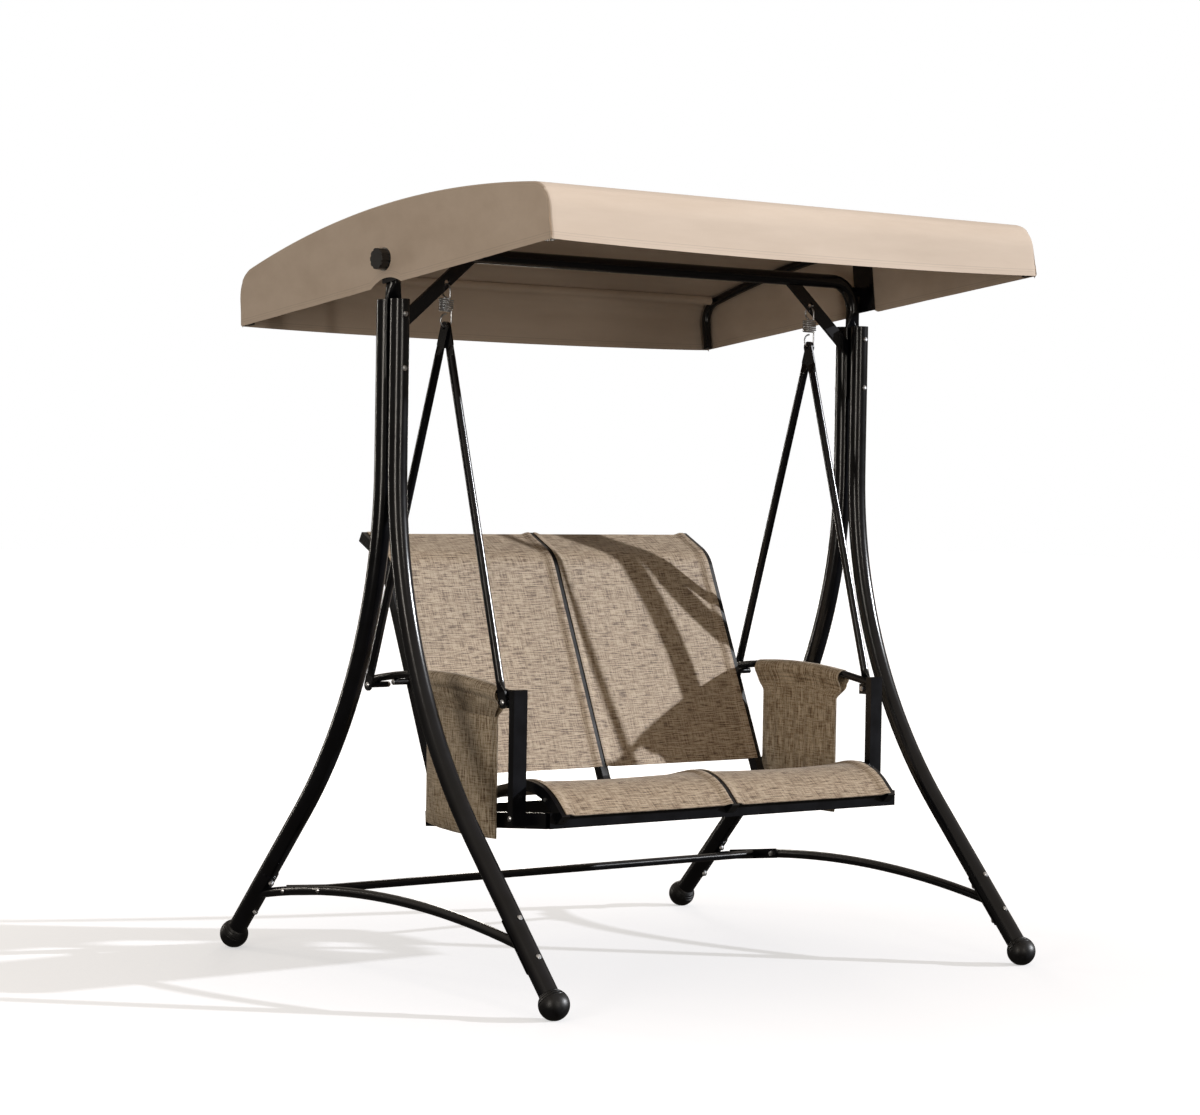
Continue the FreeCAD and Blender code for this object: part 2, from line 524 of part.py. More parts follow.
# ---------------------------------------------------------------- springs
# A close coil with a hook above, in the plane of the arms' swing, and one below, square to it.
HOOK_Z = f"({HOOK_TOP} - wire / 2 - coil_radius)"
APEX_Z = f"({HOOK_TOP} - apex_drop)"
LOOP_INSIDE = "(coil_radius - wire / 2)"
LOOP_CLEAR = f"({LOOP_INSIDE} - sqrt({LOOP_INSIDE} ^ 2 - (tip_spread + tip_thickness / 2) ^ 2) + hook_gap)"
LOOP_Z = f"({APEX_Z} + tip_hole / 2 - {LOOP_CLEAR} - wire / 2 + coil_radius)"
COIL_HEIGHT = "(coil_turns * coil_pitch)"
COIL_Z = f"({HOOK_TOP} - coil_drop - {COIL_HEIGHT} - wire / 2)"
for side, sx in SIDES:
    name = f"spring_{side}"
    helix = new("Part::Helix", name + "_helix", Pitch="coil_pitch", Height=COIL_HEIGHT, Radius="coil_radius")
    wire = new("Part::Circle", name + "_wire", Radius="wire / 2")
    place(wire, "coil_radius", "0", "0", (1, 0, 0), "90")
    coil = doc.addObject("Part::Sweep", name + "_coil")
    coil.Sections = [wire]
    coil.Spine = (helix, [])
    coil.Solid = True
    coil.Frenet = True
    place(coil, f"{sx} * {HOOK_X}", "0", COIL_Z)
    hook = new("Part::Torus", name + "_hook", Radius1="coil_radius", Radius2="wire / 2", Angle3="270")
    place(hook, f"{sx} * {HOOK_X}", "0", HOOK_Z, (0, 1, 0), "90")
    loop = new("Part::Torus", name + "_loop", Radius1="coil_radius", Radius2="wire / 2", Angle3="270")
    place(loop, f"{sx} * {HOOK_X}", "0", LOOP_Z, (1, 0, 0), "-90")
    rise = rod(name + "_rise", "wire / 2", f"{HOOK_Z} - {COIL_Z} - {COIL_HEIGHT}", f"{sx} * {HOOK_X}",
               "-coil_radius", f"{COIL_Z} + {COIL_HEIGHT}")
    fall = rod(name + "_fall", "wire / 2", f"{COIL_Z} - {LOOP_Z}", f"{sx} * {HOOK_X} + coil_radius", "0",
               LOOP_Z)
    node(name, fuse(name, [coil, hook, loop, rise, fall]))

# ---------------------------------------------------------------- armrests
# A bowed tube from the post to a free rear end, with a tab and two cross sleeves welded under it.
ARM_X = f"({LEG_X} - armrest_inset)"
RAIL_X = f"({LEG_X} - rail_inset)"
POST_REAR = "(post_y + post_depth / 2)"
TAB_IN, TAB_OUT = f"({ARM_X} - tab_thickness / 2)", f"({ARM_X} + tab_thickness / 2)"
FRONT_TIP_X = f"({LEG_X} - front_arm_inset)"
REAR_TIP_X = f"({LEG_X} - rear_arm_inset)"
TIP_HALF = "(tip_thickness / 2)"
BACK_SLEEVE_Y = "(corner_y + (armrest_z - 27 - corner_z) * tan(back_angle))"


def armrest_z(y):
    """The armrest's centre line height at a distance along it."""
    return f"(armrest_z - armrest_radius + sqrt(armrest_radius ^ 2 - (({y}) - armrest_peak) ^ 2))"


def under_armrest(y):
    return f"({armrest_z(y)} - armrest_od / 2 - sleeve_od / 2 + sleeve_sink)"


REAR_ARM_Z = under_armrest("rear_arm_y")
BACK_SLEEVE_Z = under_armrest(BACK_SLEEVE_Y)
RAIL_OUT = f"({RAIL_X} + rail_width / 2)"
RAIL_IN = f"({RAIL_X} - rail_width / 2)"
SLEEVE_IN = f"({ARM_X} - 26)"
SLEEVE_OUT = f"({REAR_TIP_X} - {TIP_HALF} - weld_gap)"
armrest_bolts = []
for side, sx in SIDES:
    name = f"armrest_{side}"
    path = [("post_y", armrest_z("post_y")), ("armrest_rear", armrest_z("armrest_rear"))]
    bow = pipe(name + "_bow", path, ["-armrest_radius"], round_section("armrest_od", "armrest_wall"),
               f"{sx} * {ARM_X}")
    tab = side_box(name + "_tab", sx, TAB_IN, TAB_OUT, "front_arm_y - tab_width / 2",
                   "front_arm_z - tab_width / 2", "tab_width",
                   f"{armrest_z('front_arm_y')} - armrest_od / 2 - front_arm_z + tab_width / 2 + 1")
    rear = side_rod(name + "_rear_sleeve", "sleeve_od / 2", sx, SLEEVE_IN, SLEEVE_OUT, "rear_arm_y", REAR_ARM_Z)
    back = side_rod(name + "_back_sleeve", "sleeve_od / 2", sx, RAIL_OUT, f"{ARM_X} + armrest_od / 2",
                    BACK_SLEEVE_Y, BACK_SLEEVE_Z)
    tools = [side_box(name + "_post", sx, f"{ARM_X} - post_width", f"{ARM_X} + post_width",
                      "post_y - post_depth", "post_bottom", "1.5 * post_depth", "armrest_z")]
    for hole, y, z in (("front", "front_arm_y", "front_arm_z"), ("rear", "rear_arm_y", REAR_ARM_Z),
                       ("back", BACK_SLEEVE_Y, BACK_SLEEVE_Z)):
        tools.append(side_rod(f"{name}_{hole}_hole", "bolt_hole / 2", sx, f"{RAIL_IN} - 1",
                              f"{REAR_TIP_X} + 1", y, z))
    node(name, cut(name, fuse(name + "_welded", [bow, tab, rear, back]), tools))
    armrest_bolts += side_bolt(f"{name}_bolt", sx, RAIL_IN, f"{ARM_X} + armrest_od / 2", BACK_SLEEVE_Y,
                               BACK_SLEEVE_Z)
node("armrest_bolts", group("armrest_bolts", armrest_bolts))

# ---------------------------------------------------------------- hanger arms
# A tube with both ends pressed flat. The upper ends hang side by side on the spring's lower hook.


def hanger_arm(name, sx, y, z, top_x, foot_x):
    """Built downwards from its upper hole, leant about X, then turned a little towards its foot."""
    drop = f"({APEX_Z} - ({z}))"
    length = f"sqrt({drop} ^ 2 + ({y}) ^ 2)"
    upper, lower = "(-upper_tip)", f"(lower_tip - {length})"
    tube_top, tube_foot = f"({upper} - arm_taper)", f"({lower} + arm_taper)"
    outer = rod(name + "_tube", "arm_od / 2", f"{tube_top} - {tube_foot}", z=tube_foot)
    bore = rod(name + "_bore", "arm_od / 2 - arm_wall", f"{tube_top} - {tube_foot}", z=tube_foot)
    pieces = [cut(name + "_hollow", outer, [bore]),
              taper(name + "_upper_taper", "arm_od", "tip_width", "tip_thickness", "arm_taper", True,
                    z=upper, axis=(0, 1, 0), angle="180"),
              taper(name + "_lower_taper", "arm_od", "tip_width", "tip_thickness", "arm_taper", True,
                    z=lower)]
    tools = []
    for tip, z_from, z_to, hole_z, hole in (("upper", upper, "0", "0", "tip_hole"),
                                            ("lower", f"(-{length})", lower, f"(-{length})", "bolt_hole")):
        pieces.append(box(f"{name}_{tip}_flat", f"-{TIP_HALF}", "-tip_width / 2", z_from, "tip_thickness",
                          "tip_width", f"{z_to} - {z_from}"))
        pieces.append(rod_x(f"{name}_{tip}_round", "tip_width / 2", f"-{TIP_HALF}", TIP_HALF, "0", hole_z))
        tools.append(rod_x(f"{name}_{tip}_hole", f"{hole} / 2", "-tip_width", "tip_width", "0", hole_z))
    leant = cut(name + "_leant", fuse(name + "_pressed", pieces), tools)
    place(leant, "0", "0", "0", (1, 0, 0), f"atan(({y}) / {drop})")
    return place(group(name, [leant]), f"{sx} * {top_x}", "0", APEX_Z, (0, 1, 0),
                 f"{sx} * atan(({top_x} - {foot_x}) / {drop})")


hanger_bolts = []
for side, sx in SIDES:
    name = f"hanger_arm_front_{side}"
    node(name, hanger_arm(name, sx, "front_arm_y", "front_arm_z", f"({HOOK_X} - tip_spread)", FRONT_TIP_X))
    name = f"hanger_arm_rear_{side}"
    node(name, hanger_arm(name, sx, "rear_arm_y", REAR_ARM_Z, f"({HOOK_X} + tip_spread)", REAR_TIP_X))
    spacer = side_rod(f"hanger_spacer_{side}", "sleeve_od / 2", sx, TAB_OUT, f"{FRONT_TIP_X} - {TIP_HALF} - weld_gap",
                      "front_arm_y", "front_arm_z")
    bore = side_rod(f"hanger_spacer_bore_{side}", "bolt_hole / 2", sx, TAB_IN, FRONT_TIP_X, "front_arm_y",
                    "front_arm_z")
    hanger_bolts.append(cut(f"hanger_spacer_ring_{side}", spacer, [bore]))
    hanger_bolts += side_bolt(f"hanger_bolt_front_{side}", sx, TAB_IN, f"{FRONT_TIP_X} + {TIP_HALF} + weld_gap",
                              "front_arm_y", "front_arm_z")
    hanger_bolts += side_bolt(f"hanger_bolt_rear_{side}", sx, SLEEVE_IN, f"{REAR_TIP_X} + {TIP_HALF} + weld_gap",
                              "rear_arm_y", REAR_ARM_Z)
node("hanger_bolts", group("hanger_bolts", hanger_bolts))

# ---------------------------------------------------------------- sling rails
# Three alike rails carry seat and back: down over the front edge, along the seat, round the
# corner, up the back and over in a roll at the top.
TURN = "((90 + seat_angle - back_angle) / 2)"
CORNER_RUN = f"(corner_radius * tan({TURN}))"
CREST = ("crest_y", "(corner_z + (corner_y - crest_y) * tan(seat_angle))")
FRONT_ARC = (f"({CREST[0]} - front_radius * (sin(seat_angle) + sin(front_angle)))",
             f"({CREST[1]} - front_radius * (cos(seat_angle) - cos(front_angle)))")
FRONT_END = (f"({FRONT_ARC[0]} - front_straight * cos(front_angle))",
             f"({FRONT_ARC[1]} - front_straight * sin(front_angle))")
SEAT_END = (f"(corner_y - {CORNER_RUN} * cos(seat_angle))", f"(corner_z + {CORNER_RUN} * sin(seat_angle))")
BACK_START = (f"(corner_y + {CORNER_RUN} * sin(back_angle))", f"(corner_z + {CORNER_RUN} * cos(back_angle))")


def on_back(z):
    return f"(corner_y + (({z}) - corner_z) * tan(back_angle))", z


BACK_END = on_back("back_straight_z")
ROLL_END = (f"({BACK_END[0]} + roll_radius * (cos(back_angle) - cos(roll_angle)))",
            f"({BACK_END[1]} + roll_radius * (sin(roll_angle) - sin(back_angle)))")
TOP_END = (f"({ROLL_END[0]} + roll_straight * sin(roll_angle))",
           f"({ROLL_END[1]} + roll_straight * cos(roll_angle))")
RAILS = (("left", f"-{RAIL_X}"), ("centre", "0"), ("right", RAIL_X))
rail_path = [FRONT_END, FRONT_ARC, CREST, SEAT_END, BACK_START, BACK_END, ROLL_END, TOP_END]
rail_radii = [None, "-front_radius", None, "+corner_radius", None, "-roll_radius", None]
rail_outer, caps, rail_screws = [], [], []
for side, x in RAILS:
    name = f"sling_rail_{side}"
    rail = pipe(name + "_tube", rail_path, rail_radii, box_section("rail_width", "rail_height", "rail_wall"), x)
    rail_outer.append(pipe(name + "_outer", rail_path, rail_radii, box_section("rail_width", "rail_height"), x))
    tools = []
    if side != "centre":
        sx = -1 if side == "left" else 1
        tools.append(side_rod(name + "_armrest_hole", "bolt_hole / 2", sx, f"{RAIL_IN} - 1", f"{RAIL_OUT} + 1",
                              BACK_SLEEVE_Y, BACK_SLEEVE_Z))
        tools.append(side_rod(name + "_screw_hole", "screw_od / 2 + weld_gap", sx, f"{RAIL_OUT} - 4",
                              f"{RAIL_OUT} + 1", "crest_y - 110", f"{CREST[1]} - 25"))
        head = side_rod(name + "_screw_head", "screw_head / 2", sx, RAIL_OUT, f"{RAIL_OUT} + 2.5",
                        "crest_y - 110", f"{CREST[1]} - 25")
        shank = side_rod(name + "_screw_shank", "screw_od / 2", sx, f"{RAIL_OUT} - screw_length", RAIL_OUT,
                         "crest_y - 110", f"{CREST[1]} - 25")
        rail_screws.append(fuse(name + "_screw", [head, shank]))
    node(name, cut(name, rail, tools) if tools else rail)
    for end, point, angle in (("top", TOP_END, "-roll_angle"), ("front", FRONT_END, "90 + front_angle")):
        plug = pad(f"{name}_{end}_cap", "XY_Plane", "cap_thickness", box_section("rail_width", "rail_height"))
        place(plug, z="cap_thickness / 2")
        caps.append(place(group(f"{name}_{end}_plug", [plug]), x, point[0], point[1], (1, 0, 0), angle))
node("end_caps", group("end_caps", caps))
node("rail_screws", group("rail_screws", rail_screws))

# ---------------------------------------------------------------- seat base
# Front and side box tubes under the rails, a rear one notched round them, and a back spreader.
BASE_OUT = f"({ARM_X} - post_width / 2)"
SIDE_RAIL_X = f"(({RAIL_OUT} + {BASE_OUT}) / 2)"
SIDE_FRONT = "(base_front + base_width - 4)"


def side_rail_z(y):
    return f"(base_top - base_height / 2 - ({y} - base_front) * tan(base_slope))"


def cross_rail(name, half_length, y, top):
    """A box tube along X, notched where the sling rails cross it."""
    outer = box(name + "_outer", f"-{half_length}", y, f"{top} - base_height", f"2 * {half_length}",
                "base_width", "base_height")
    inner = box(name + "_inner", f"-{half_length} - 1", f"{y} + base_wall",
                f"{top} - base_height + base_wall", f"2 * {half_length} + 2", "base_width - 2 * base_wall",
                "base_height - 2 * base_wall")
    return outer, cut(name, outer, [inner] + rail_outer)


front_outer, front_rail = cross_rail("front_rail", BASE_OUT, "base_front", "base_top")
node("front_rail", front_rail)
rear_outer, rear_rail = cross_rail("rear_rail", RAIL_OUT, "(rear_rail_y - base_width / 2)", "rear_rail_top")
node("rear_rail", rear_rail)
post_bolts = []
for side, sx in SIDES:
    name = f"side_rail_{side}"
    path = [(SIDE_FRONT, side_rail_z(SIDE_FRONT)), ("base_rear", side_rail_z("base_rear"))]
    tube = pipe(name + "_tube", path, [None],
                box_section(f"({BASE_OUT} - {RAIL_OUT})", "base_height", "base_wall"), f"{sx} * {SIDE_RAIL_X}")
    hole = side_rod(name + "_hole", "bolt_hole / 2", sx, f"{RAIL_OUT} - 1", f"{BASE_OUT} + 1", "post_y",
                    "post_bolt_z")
    node(name, cut(name, tube, [front_outer, hole]))
    name = f"post_{side}"
    outer = side_box(name + "_outer", sx, BASE_OUT, f"{BASE_OUT} + post_width", "post_y - post_depth / 2",
                     "post_bottom", "post_depth", "post_top - post_bottom")
    inner = side_box(name + "_inner", sx, f"{BASE_OUT} + post_wall", f"{BASE_OUT} + post_width - post_wall",
                     "post_y - post_depth / 2 + post_wall", "post_bottom - 1", "post_depth - 2 * post_wall",
                     "post_top - post_bottom + 1 - post_wall")
    hole = side_rod(name + "_hole", "bolt_hole / 2", sx, f"{BASE_OUT} - 1", f"{BASE_OUT} + post_width + 1",
                    "post_y", "post_bolt_z")
    node(name, cut(name, outer, [inner, hole]))
    post_bolts += side_bolt(f"{name}_bolt", sx, RAIL_OUT, f"{BASE_OUT} + post_width", "post_y", "post_bolt_z")
node("post_bolts", group("post_bolts", post_bolts))

spreader_y = f"({on_back('spreader_z')[0]} + spreader_set)"
spreaders = []
for side, sx in SIDES:
    name = f"spreader_{side}"
    outer = side_rod(name + "_outer", "spreader_od / 2", sx, "rail_width / 2", RAIL_IN, spreader_y, "spreader_z")
    bore = side_rod(name + "_bore", "spreader_od / 2 - spreader_wall", sx, "rail_width / 2", RAIL_IN,
                    spreader_y, "spreader_z")
    spreaders.append(cut(name, outer, [bore]))
node("back_spreader", group("back_spreader", spreaders))

# ---------------------------------------------------------------- slings
# Four panels of woven mesh, stretched between the rails' inner faces near the sitter's side.
seat_path = (rail_path[:4], rail_radii[:3])
back_path = ([on_back("back_sling_bottom")] + rail_path[5:], rail_radii[4:])


def sling_section(sx):
    low, high = "(sling_rise - sling_thickness / 2)", "(sling_rise + sling_thickness / 2)"
    near, far = f"{sx} * rail_width / 2", f"{sx} * {RAIL_IN}"
    return lambda sketch: rectangle(sketch, near, low, far, high)


for part, (path, radii) in (("seat", seat_path), ("back", back_path)):
    for side, sx in SIDES:
        name = f"{part}_sling_{side}"
        node(name, pipe(name, path, radii, sling_section(sx)))

# ---------------------------------------------------------------- armrest pouches
# A cloth pocket under each armrest, hung from a loop that the tube passes through.
for side, sx in SIDES:
    name = f"pouch_{side}"
    middle = f"{side}_pouch_y"
    ends = [f"({middle} - pouch_width / 2)", f"({middle} + pouch_width / 2)"]
    path = [(y, f"{armrest_z(y)} - pouch_sag") for y in ends]
    bend = ["-armrest_radius"]
    loop = pipe(name + "_loop", path, bend, round_section("pouch_loop_od"), f"{sx} * {ARM_X}")
    bore = pipe(name + "_bore", path, bend, round_section("(pouch_loop_od - 2 * pouch_wall)"),
                f"{sx} * {ARM_X}")
    back_x = f"({ARM_X} - pouch_inset)"
    front_x = f"({back_x} + pouch_depth)"
    top = f"({armrest_z(middle)} - pouch_sag)"
    bag = side_box(name + "_bag", sx, back_x, front_x, f"{middle} - pouch_bag_width / 2", "pouch_bottom",
                   "pouch_bag_width", f"{top} - pouch_bottom")
    cavity = side_box(name + "_cavity", sx, f"{back_x} + pouch_wall", f"{front_x} - pouch_wall",
                      f"{middle} - pouch_bag_width / 2 + pouch_wall", "pouch_bottom + pouch_wall",
                      "pouch_bag_width - 2 * pouch_wall", "pouch_mouth")
    mouth = side_box(name + "_mouth", sx, f"{back_x} + pouch_wall", f"{front_x} + 1",
                     f"{middle} - pouch_bag_width", "pouch_mouth", "2 * pouch_bag_width", "pouch_mouth")
    hung = cut(name + "_hung", bag, [cavity, mouth])
    node(name, cut(name, fuse(name + "_sewn", [loop, hung]), [bore]))

# ---------------------------------------------------------------- canopy frame
# Everything on the canopy is drawn level about the tilt axis and then tilted back as one.
ARCH_CENTRE = "(canopy_peak - canopy_arch_radius)"
HOOP_SET = "(canopy_thickness + fabric_gap + hoop_od / 2)"
HOOP_X = f"({PLATE_OUT} - hoop_od / 2)"


def arched(half, corner, arch, foot):
    """An arch with round shoulders and straight ends: its points and the radii between them."""
    rise = f"sqrt(({arch} - {corner}) ^ 2 - ({half} - {corner}) ^ 2)"
    u = f"(({half} - {corner}) * {arch} / ({arch} - {corner}))"
    w = f"({ARCH_CENTRE} + {rise} * {arch} / ({arch} - {corner}))"
    shoulder = f"({ARCH_CENTRE} + {rise})"
    points = [(f"-{half}", foot), (f"-{half}", shoulder), (f"-{u}", w), (u, w), (half, shoulder), (half, foot)]
    return points, [None, "-" + corner, "-" + arch, "-" + corner, None]


def tilted(thing):
    return place(thing, "0", "0", PIVOT_Z, (1, 0, 0), "-canopy_tilt")


# A tilt plate's top edge follows the underside of the hoop it is welded to.
PLATE_ARCH = (f"(canopy_arch_radius - {HOOP_SET} - weld_gap"
              " - sqrt((hoop_od / 2) ^ 2 - (hoop_od / 2 - plate_thickness) ^ 2))")


def plate_outline(sketch):
    corners = [("plate_rear", "-plate_drop"), ("-plate_front", "-plate_drop")]
    corners += [(y, f"({ARCH_CENTRE} + sqrt({PLATE_ARCH} ^ 2 - ({y}) ^ 2))") for y in ("-plate_front", "plate_rear")]
    draw(sketch, corners + corners[:1], [None, None, "-" + PLATE_ARCH, None])


hoop_path = arched("hoop_half_depth", "hoop_bend", f"(canopy_arch_radius - {HOOP_SET})", "-hoop_foot")
hoop_outer = {}
for side, sx in SIDES:
    name = f"canopy_hoop_{side}"
    x = f"{sx} * {HOOP_X}"
    hoop_outer[side] = pipe(name + "_outer", *hoop_path, round_section("hoop_od"), x)
    tube = pipe(name + "_tube", *hoop_path, round_section("hoop_od", "hoop_wall"), x)
    node(name, tilted(group(name, [tube])))
    name = f"tilt_plate_{side}"
    blank = pad(name + "_blank", "YZ_Plane", "plate_thickness", plate_outline)
    place(blank, x=f"{sx} * ({PLATE_OUT} - plate_thickness / 2)")
    hole = side_rod(name + "_hole", "stud_od / 2 + stud_gap", sx, f"{PLATE_IN} - 1", f"{PLATE_OUT} + 1", "0", "0")
    node(name, tilted(cut(name, blank, [hole])))

canopy_caps = []
for side, sx in SIDES:
    for end, sy in ENDS:
        canopy_caps.append(rod(f"canopy_cap_{side}_{end}", "hoop_od / 2", "cap_thickness",
                               f"{sx} * {HOOP_X}", f"{sy} * hoop_half_depth", "-hoop_foot - cap_thickness"))
node("canopy_end_caps", tilted(group("canopy_end_caps", canopy_caps)))

for end, (y, z) in (("front", hoop_path[0][2]), ("rear", hoop_path[0][3])):
    name = f"canopy_bow_{end}"
    outer = rod_x(name + "_tube", "bow_od / 2", f"-{HOOP_X}", HOOP_X, y, z)
    bore = rod_x(name + "_bore", "bow_od / 2 - bow_wall", f"-{HOOP_X}", HOOP_X, y, z)
    node(name, tilted(cut(name, outer, [bore, hoop_outer["left"], hoop_outer["right"]])))

# ---------------------------------------------------------------- canopy cover
# One sewn cover: arched roof, front and rear valances, and side panels notched over the beam.


def shell(name, width, half, corner, arch, foot):
    points, radii = arched(half, corner, arch, foot)
    return pad(name, "YZ_Plane", width, lambda sketch: draw(sketch, points + points[:1], radii + [None]))


skin = shell("cover_skin", f"2 * {COVER_X}", "canopy_half_depth", "canopy_corner", "canopy_arch_radius",
             "-canopy_drop")
hollow = shell("cover_hollow", f"2 * ({COVER_X} - canopy_thickness)", "(canopy_half_depth - canopy_thickness)",
               "(canopy_corner - canopy_thickness)", "(canopy_arch_radius - canopy_thickness)",
               "-2 * canopy_drop")
notch = rod_x("cover_notch", "notch_radius", f"-{COVER_X} - 1", f"{COVER_X} + 1", "0",
              "notch_height - canopy_drop - notch_radius")
stud_holes = rod_x("cover_stud_holes", "stud_od / 2 + hook_gap", f"-{COVER_X} - 1", f"{COVER_X} + 1", "0", "0")
node("canopy_cover", tilted(cut("canopy_cover", skin, [hollow, notch, stud_holes])))

# ---------------------------------------------------------------- tilt knobs
# A fluted hand knob on each stud, with a bright washer against the cover.
FLUTES = 10
for side, sx in SIDES:
    name = f"knob_{side}"
    turn = ((0, 1, 0), f"{sx} * 90")
    grip = rod(name + "_grip", "knob_od / 2", "knob_length")
    tools = [rod(name + "_bore", "stud_od / 2 + stud_gap", "knob_length - knob_cap")]
    for i in range(FLUTES):
        angle = f"({i} * 360 / {FLUTES})"
        tools.append(rod(f"{name}_flute{i}", "flute_radius", "knob_length",
                         f"(knob_od / 2 + flute_radius / 2) * cos{angle}",
                         f"(knob_od / 2 + flute_radius / 2) * sin{angle}"))
    node(name, place(cut(name, grip, tools), f"{sx} * {KNOB_X}", "0", PIVOT_Z, *turn))
    name = f"knob_washer_{side}"
    disc = rod(name + "_disc", "washer_od / 2", "washer_thickness")
    bore = rod(name + "_bore", "stud_od / 2 + stud_gap", "washer_thickness")
    node(name, place(cut(name, disc, [bore]), f"{sx} * {WASHER_X}", "0", PIVOT_Z, *turn))

# ---------------------------------------------------------------- check and write
doc.recompute()
for thing in doc.Objects:
    if "Invalid" in thing.State or "Error" in thing.State:
        raise RuntimeError(f"{thing.Name}: {thing.State}")
os.makedirs("parts", exist_ok=True)
for label, thing in nodes.items():
    if thing.Shape.isNull() or not thing.Shape.isValid():
        raise RuntimeError(f"{label}: shape is empty or not valid")
    thing.Shape.exportStep(f"parts/{label}.step")
print(len(nodes), "sub-parts written")
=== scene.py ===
import json
import math

import bpy
from mathutils import Matrix, Vector, noise


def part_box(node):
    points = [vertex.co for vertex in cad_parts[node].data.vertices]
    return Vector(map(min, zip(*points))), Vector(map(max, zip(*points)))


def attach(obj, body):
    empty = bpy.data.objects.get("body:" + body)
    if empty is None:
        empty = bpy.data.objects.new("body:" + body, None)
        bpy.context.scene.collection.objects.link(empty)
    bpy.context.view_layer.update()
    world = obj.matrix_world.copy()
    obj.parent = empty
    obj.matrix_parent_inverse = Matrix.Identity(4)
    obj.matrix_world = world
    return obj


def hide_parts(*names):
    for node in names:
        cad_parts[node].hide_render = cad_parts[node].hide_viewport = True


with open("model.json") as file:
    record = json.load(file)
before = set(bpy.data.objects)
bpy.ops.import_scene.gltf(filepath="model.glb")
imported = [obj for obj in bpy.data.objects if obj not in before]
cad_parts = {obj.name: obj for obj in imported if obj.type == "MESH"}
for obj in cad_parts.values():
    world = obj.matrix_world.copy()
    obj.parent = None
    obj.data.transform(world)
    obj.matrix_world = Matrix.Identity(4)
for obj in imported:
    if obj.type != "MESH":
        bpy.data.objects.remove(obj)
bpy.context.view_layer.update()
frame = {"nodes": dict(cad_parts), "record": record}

bpy.ops.object.select_all(action="DESELECT")


# ---------------------------------------------------------------- steel frame
# Bent steel tubes, flats and welded tabs: the side frames, top beam, hangers, seat frame, arms and
# canopy hoops. After welding they are sprayed with black polyester powder and baked, which leaves
# a deep gloss skin with a faint orange-peel ripple.


def linear(hex_colour):
    """An sRGB hex colour as linear RGBA."""
    levels = [int(hex_colour[i : i + 2], 16) / 255 for i in (1, 3, 5)]
    return (*[c / 12.92 if c <= 0.04045 else ((c + 0.055) / 1.055) ** 2.4 for c in levels], 1)


def new_material(name, **sockets):
    """A new material and its shader, with the shader's own sockets set."""
    material = bpy.data.materials.new(name)
    material.use_nodes = True
    shader = material.node_tree.nodes["Principled BSDF"]
    for socket, setting in sockets.items():
        shader.inputs[socket.replace("_", " ")].default_value = setting
    return material, shader


def add_node(material, kind, inputs, **settings):
    """Adds a node with its settings. Each input is given a value, or the output that feeds it."""
    node = material.node_tree.nodes.new(kind)
    for name, setting in settings.items():
        setattr(node, name, setting)
    for socket, source in inputs.items():
        if isinstance(source, bpy.types.NodeSocket):
            material.node_tree.links.new(source, node.inputs[socket])
        else:
            node.inputs[socket].default_value = source
    return node


def feed(material, shader, **sockets):
    """Links outputs to the shader's sockets."""
    for socket, source in sockets.items():
        material.node_tree.links.new(source, shader.inputs[socket.replace("_", " ")])


def colour_steps(ramp, *steps):
    """Sets a colour ramp's stops from pairs of position and hex colour."""
    stops = ramp.color_ramp.elements
    while len(stops) < len(steps):
        stops.new(1.0)
    for stop, (position, hex_colour) in zip(stops, steps):
        stop.position = position
        stop.color = linear(hex_colour)


def finish_nodes(slot, material):
    """Gives a material to every CAD node of one of the record's slots."""
    for part in frame["record"]["subparts"]:
        if part["material_slot"] == slot:
            mesh = frame["nodes"][part["node"]].data
            mesh.materials.clear()
            mesh.materials.append(material)


# Gloss black powder coat on steel: near-black, sharp highlights broken a little by the orange peel.
powder_coat, skin = new_material("gloss_black_powder_coat", IOR=1.5)
place = add_node(powder_coat, "ShaderNodeTexCoord", {}).outputs["Object"]
film = add_node(powder_coat, "ShaderNodeTexNoise", {"Vector": place, "Scale": 1 / 0.06, "Detail": 4.0})
shade = add_node(powder_coat, "ShaderNodeValToRGB", {"Fac": film.outputs["Fac"]})
colour_steps(shade, (0.3, "#08080B"), (0.7, "#101116"))
gloss = add_node(powder_coat, "ShaderNodeMapRange", {"Value": film.outputs["Fac"], "To Min": 0.16, "To Max": 0.27})
peel = add_node(powder_coat, "ShaderNodeTexNoise", {"Vector": place, "Scale": 1 / 0.003, "Detail": 1.0})
ripple = add_node(powder_coat, "ShaderNodeBump",
                  {"Height": peel.outputs["Fac"], "Strength": 0.08, "Distance": 0.0002})
feed(powder_coat, skin, Base_Color=shade.outputs["Color"], Roughness=gloss.outputs["Result"],
     Normal=ripple.outputs["Normal"])
finish_nodes("black_powder_coat", powder_coat)


# ---------------------------------------------------------------- ball feet
# Four ribbed balls moulded in black polypropylene, pressed over the ends of the legs. The mould's
# spark-eroded grain leaves them satin.

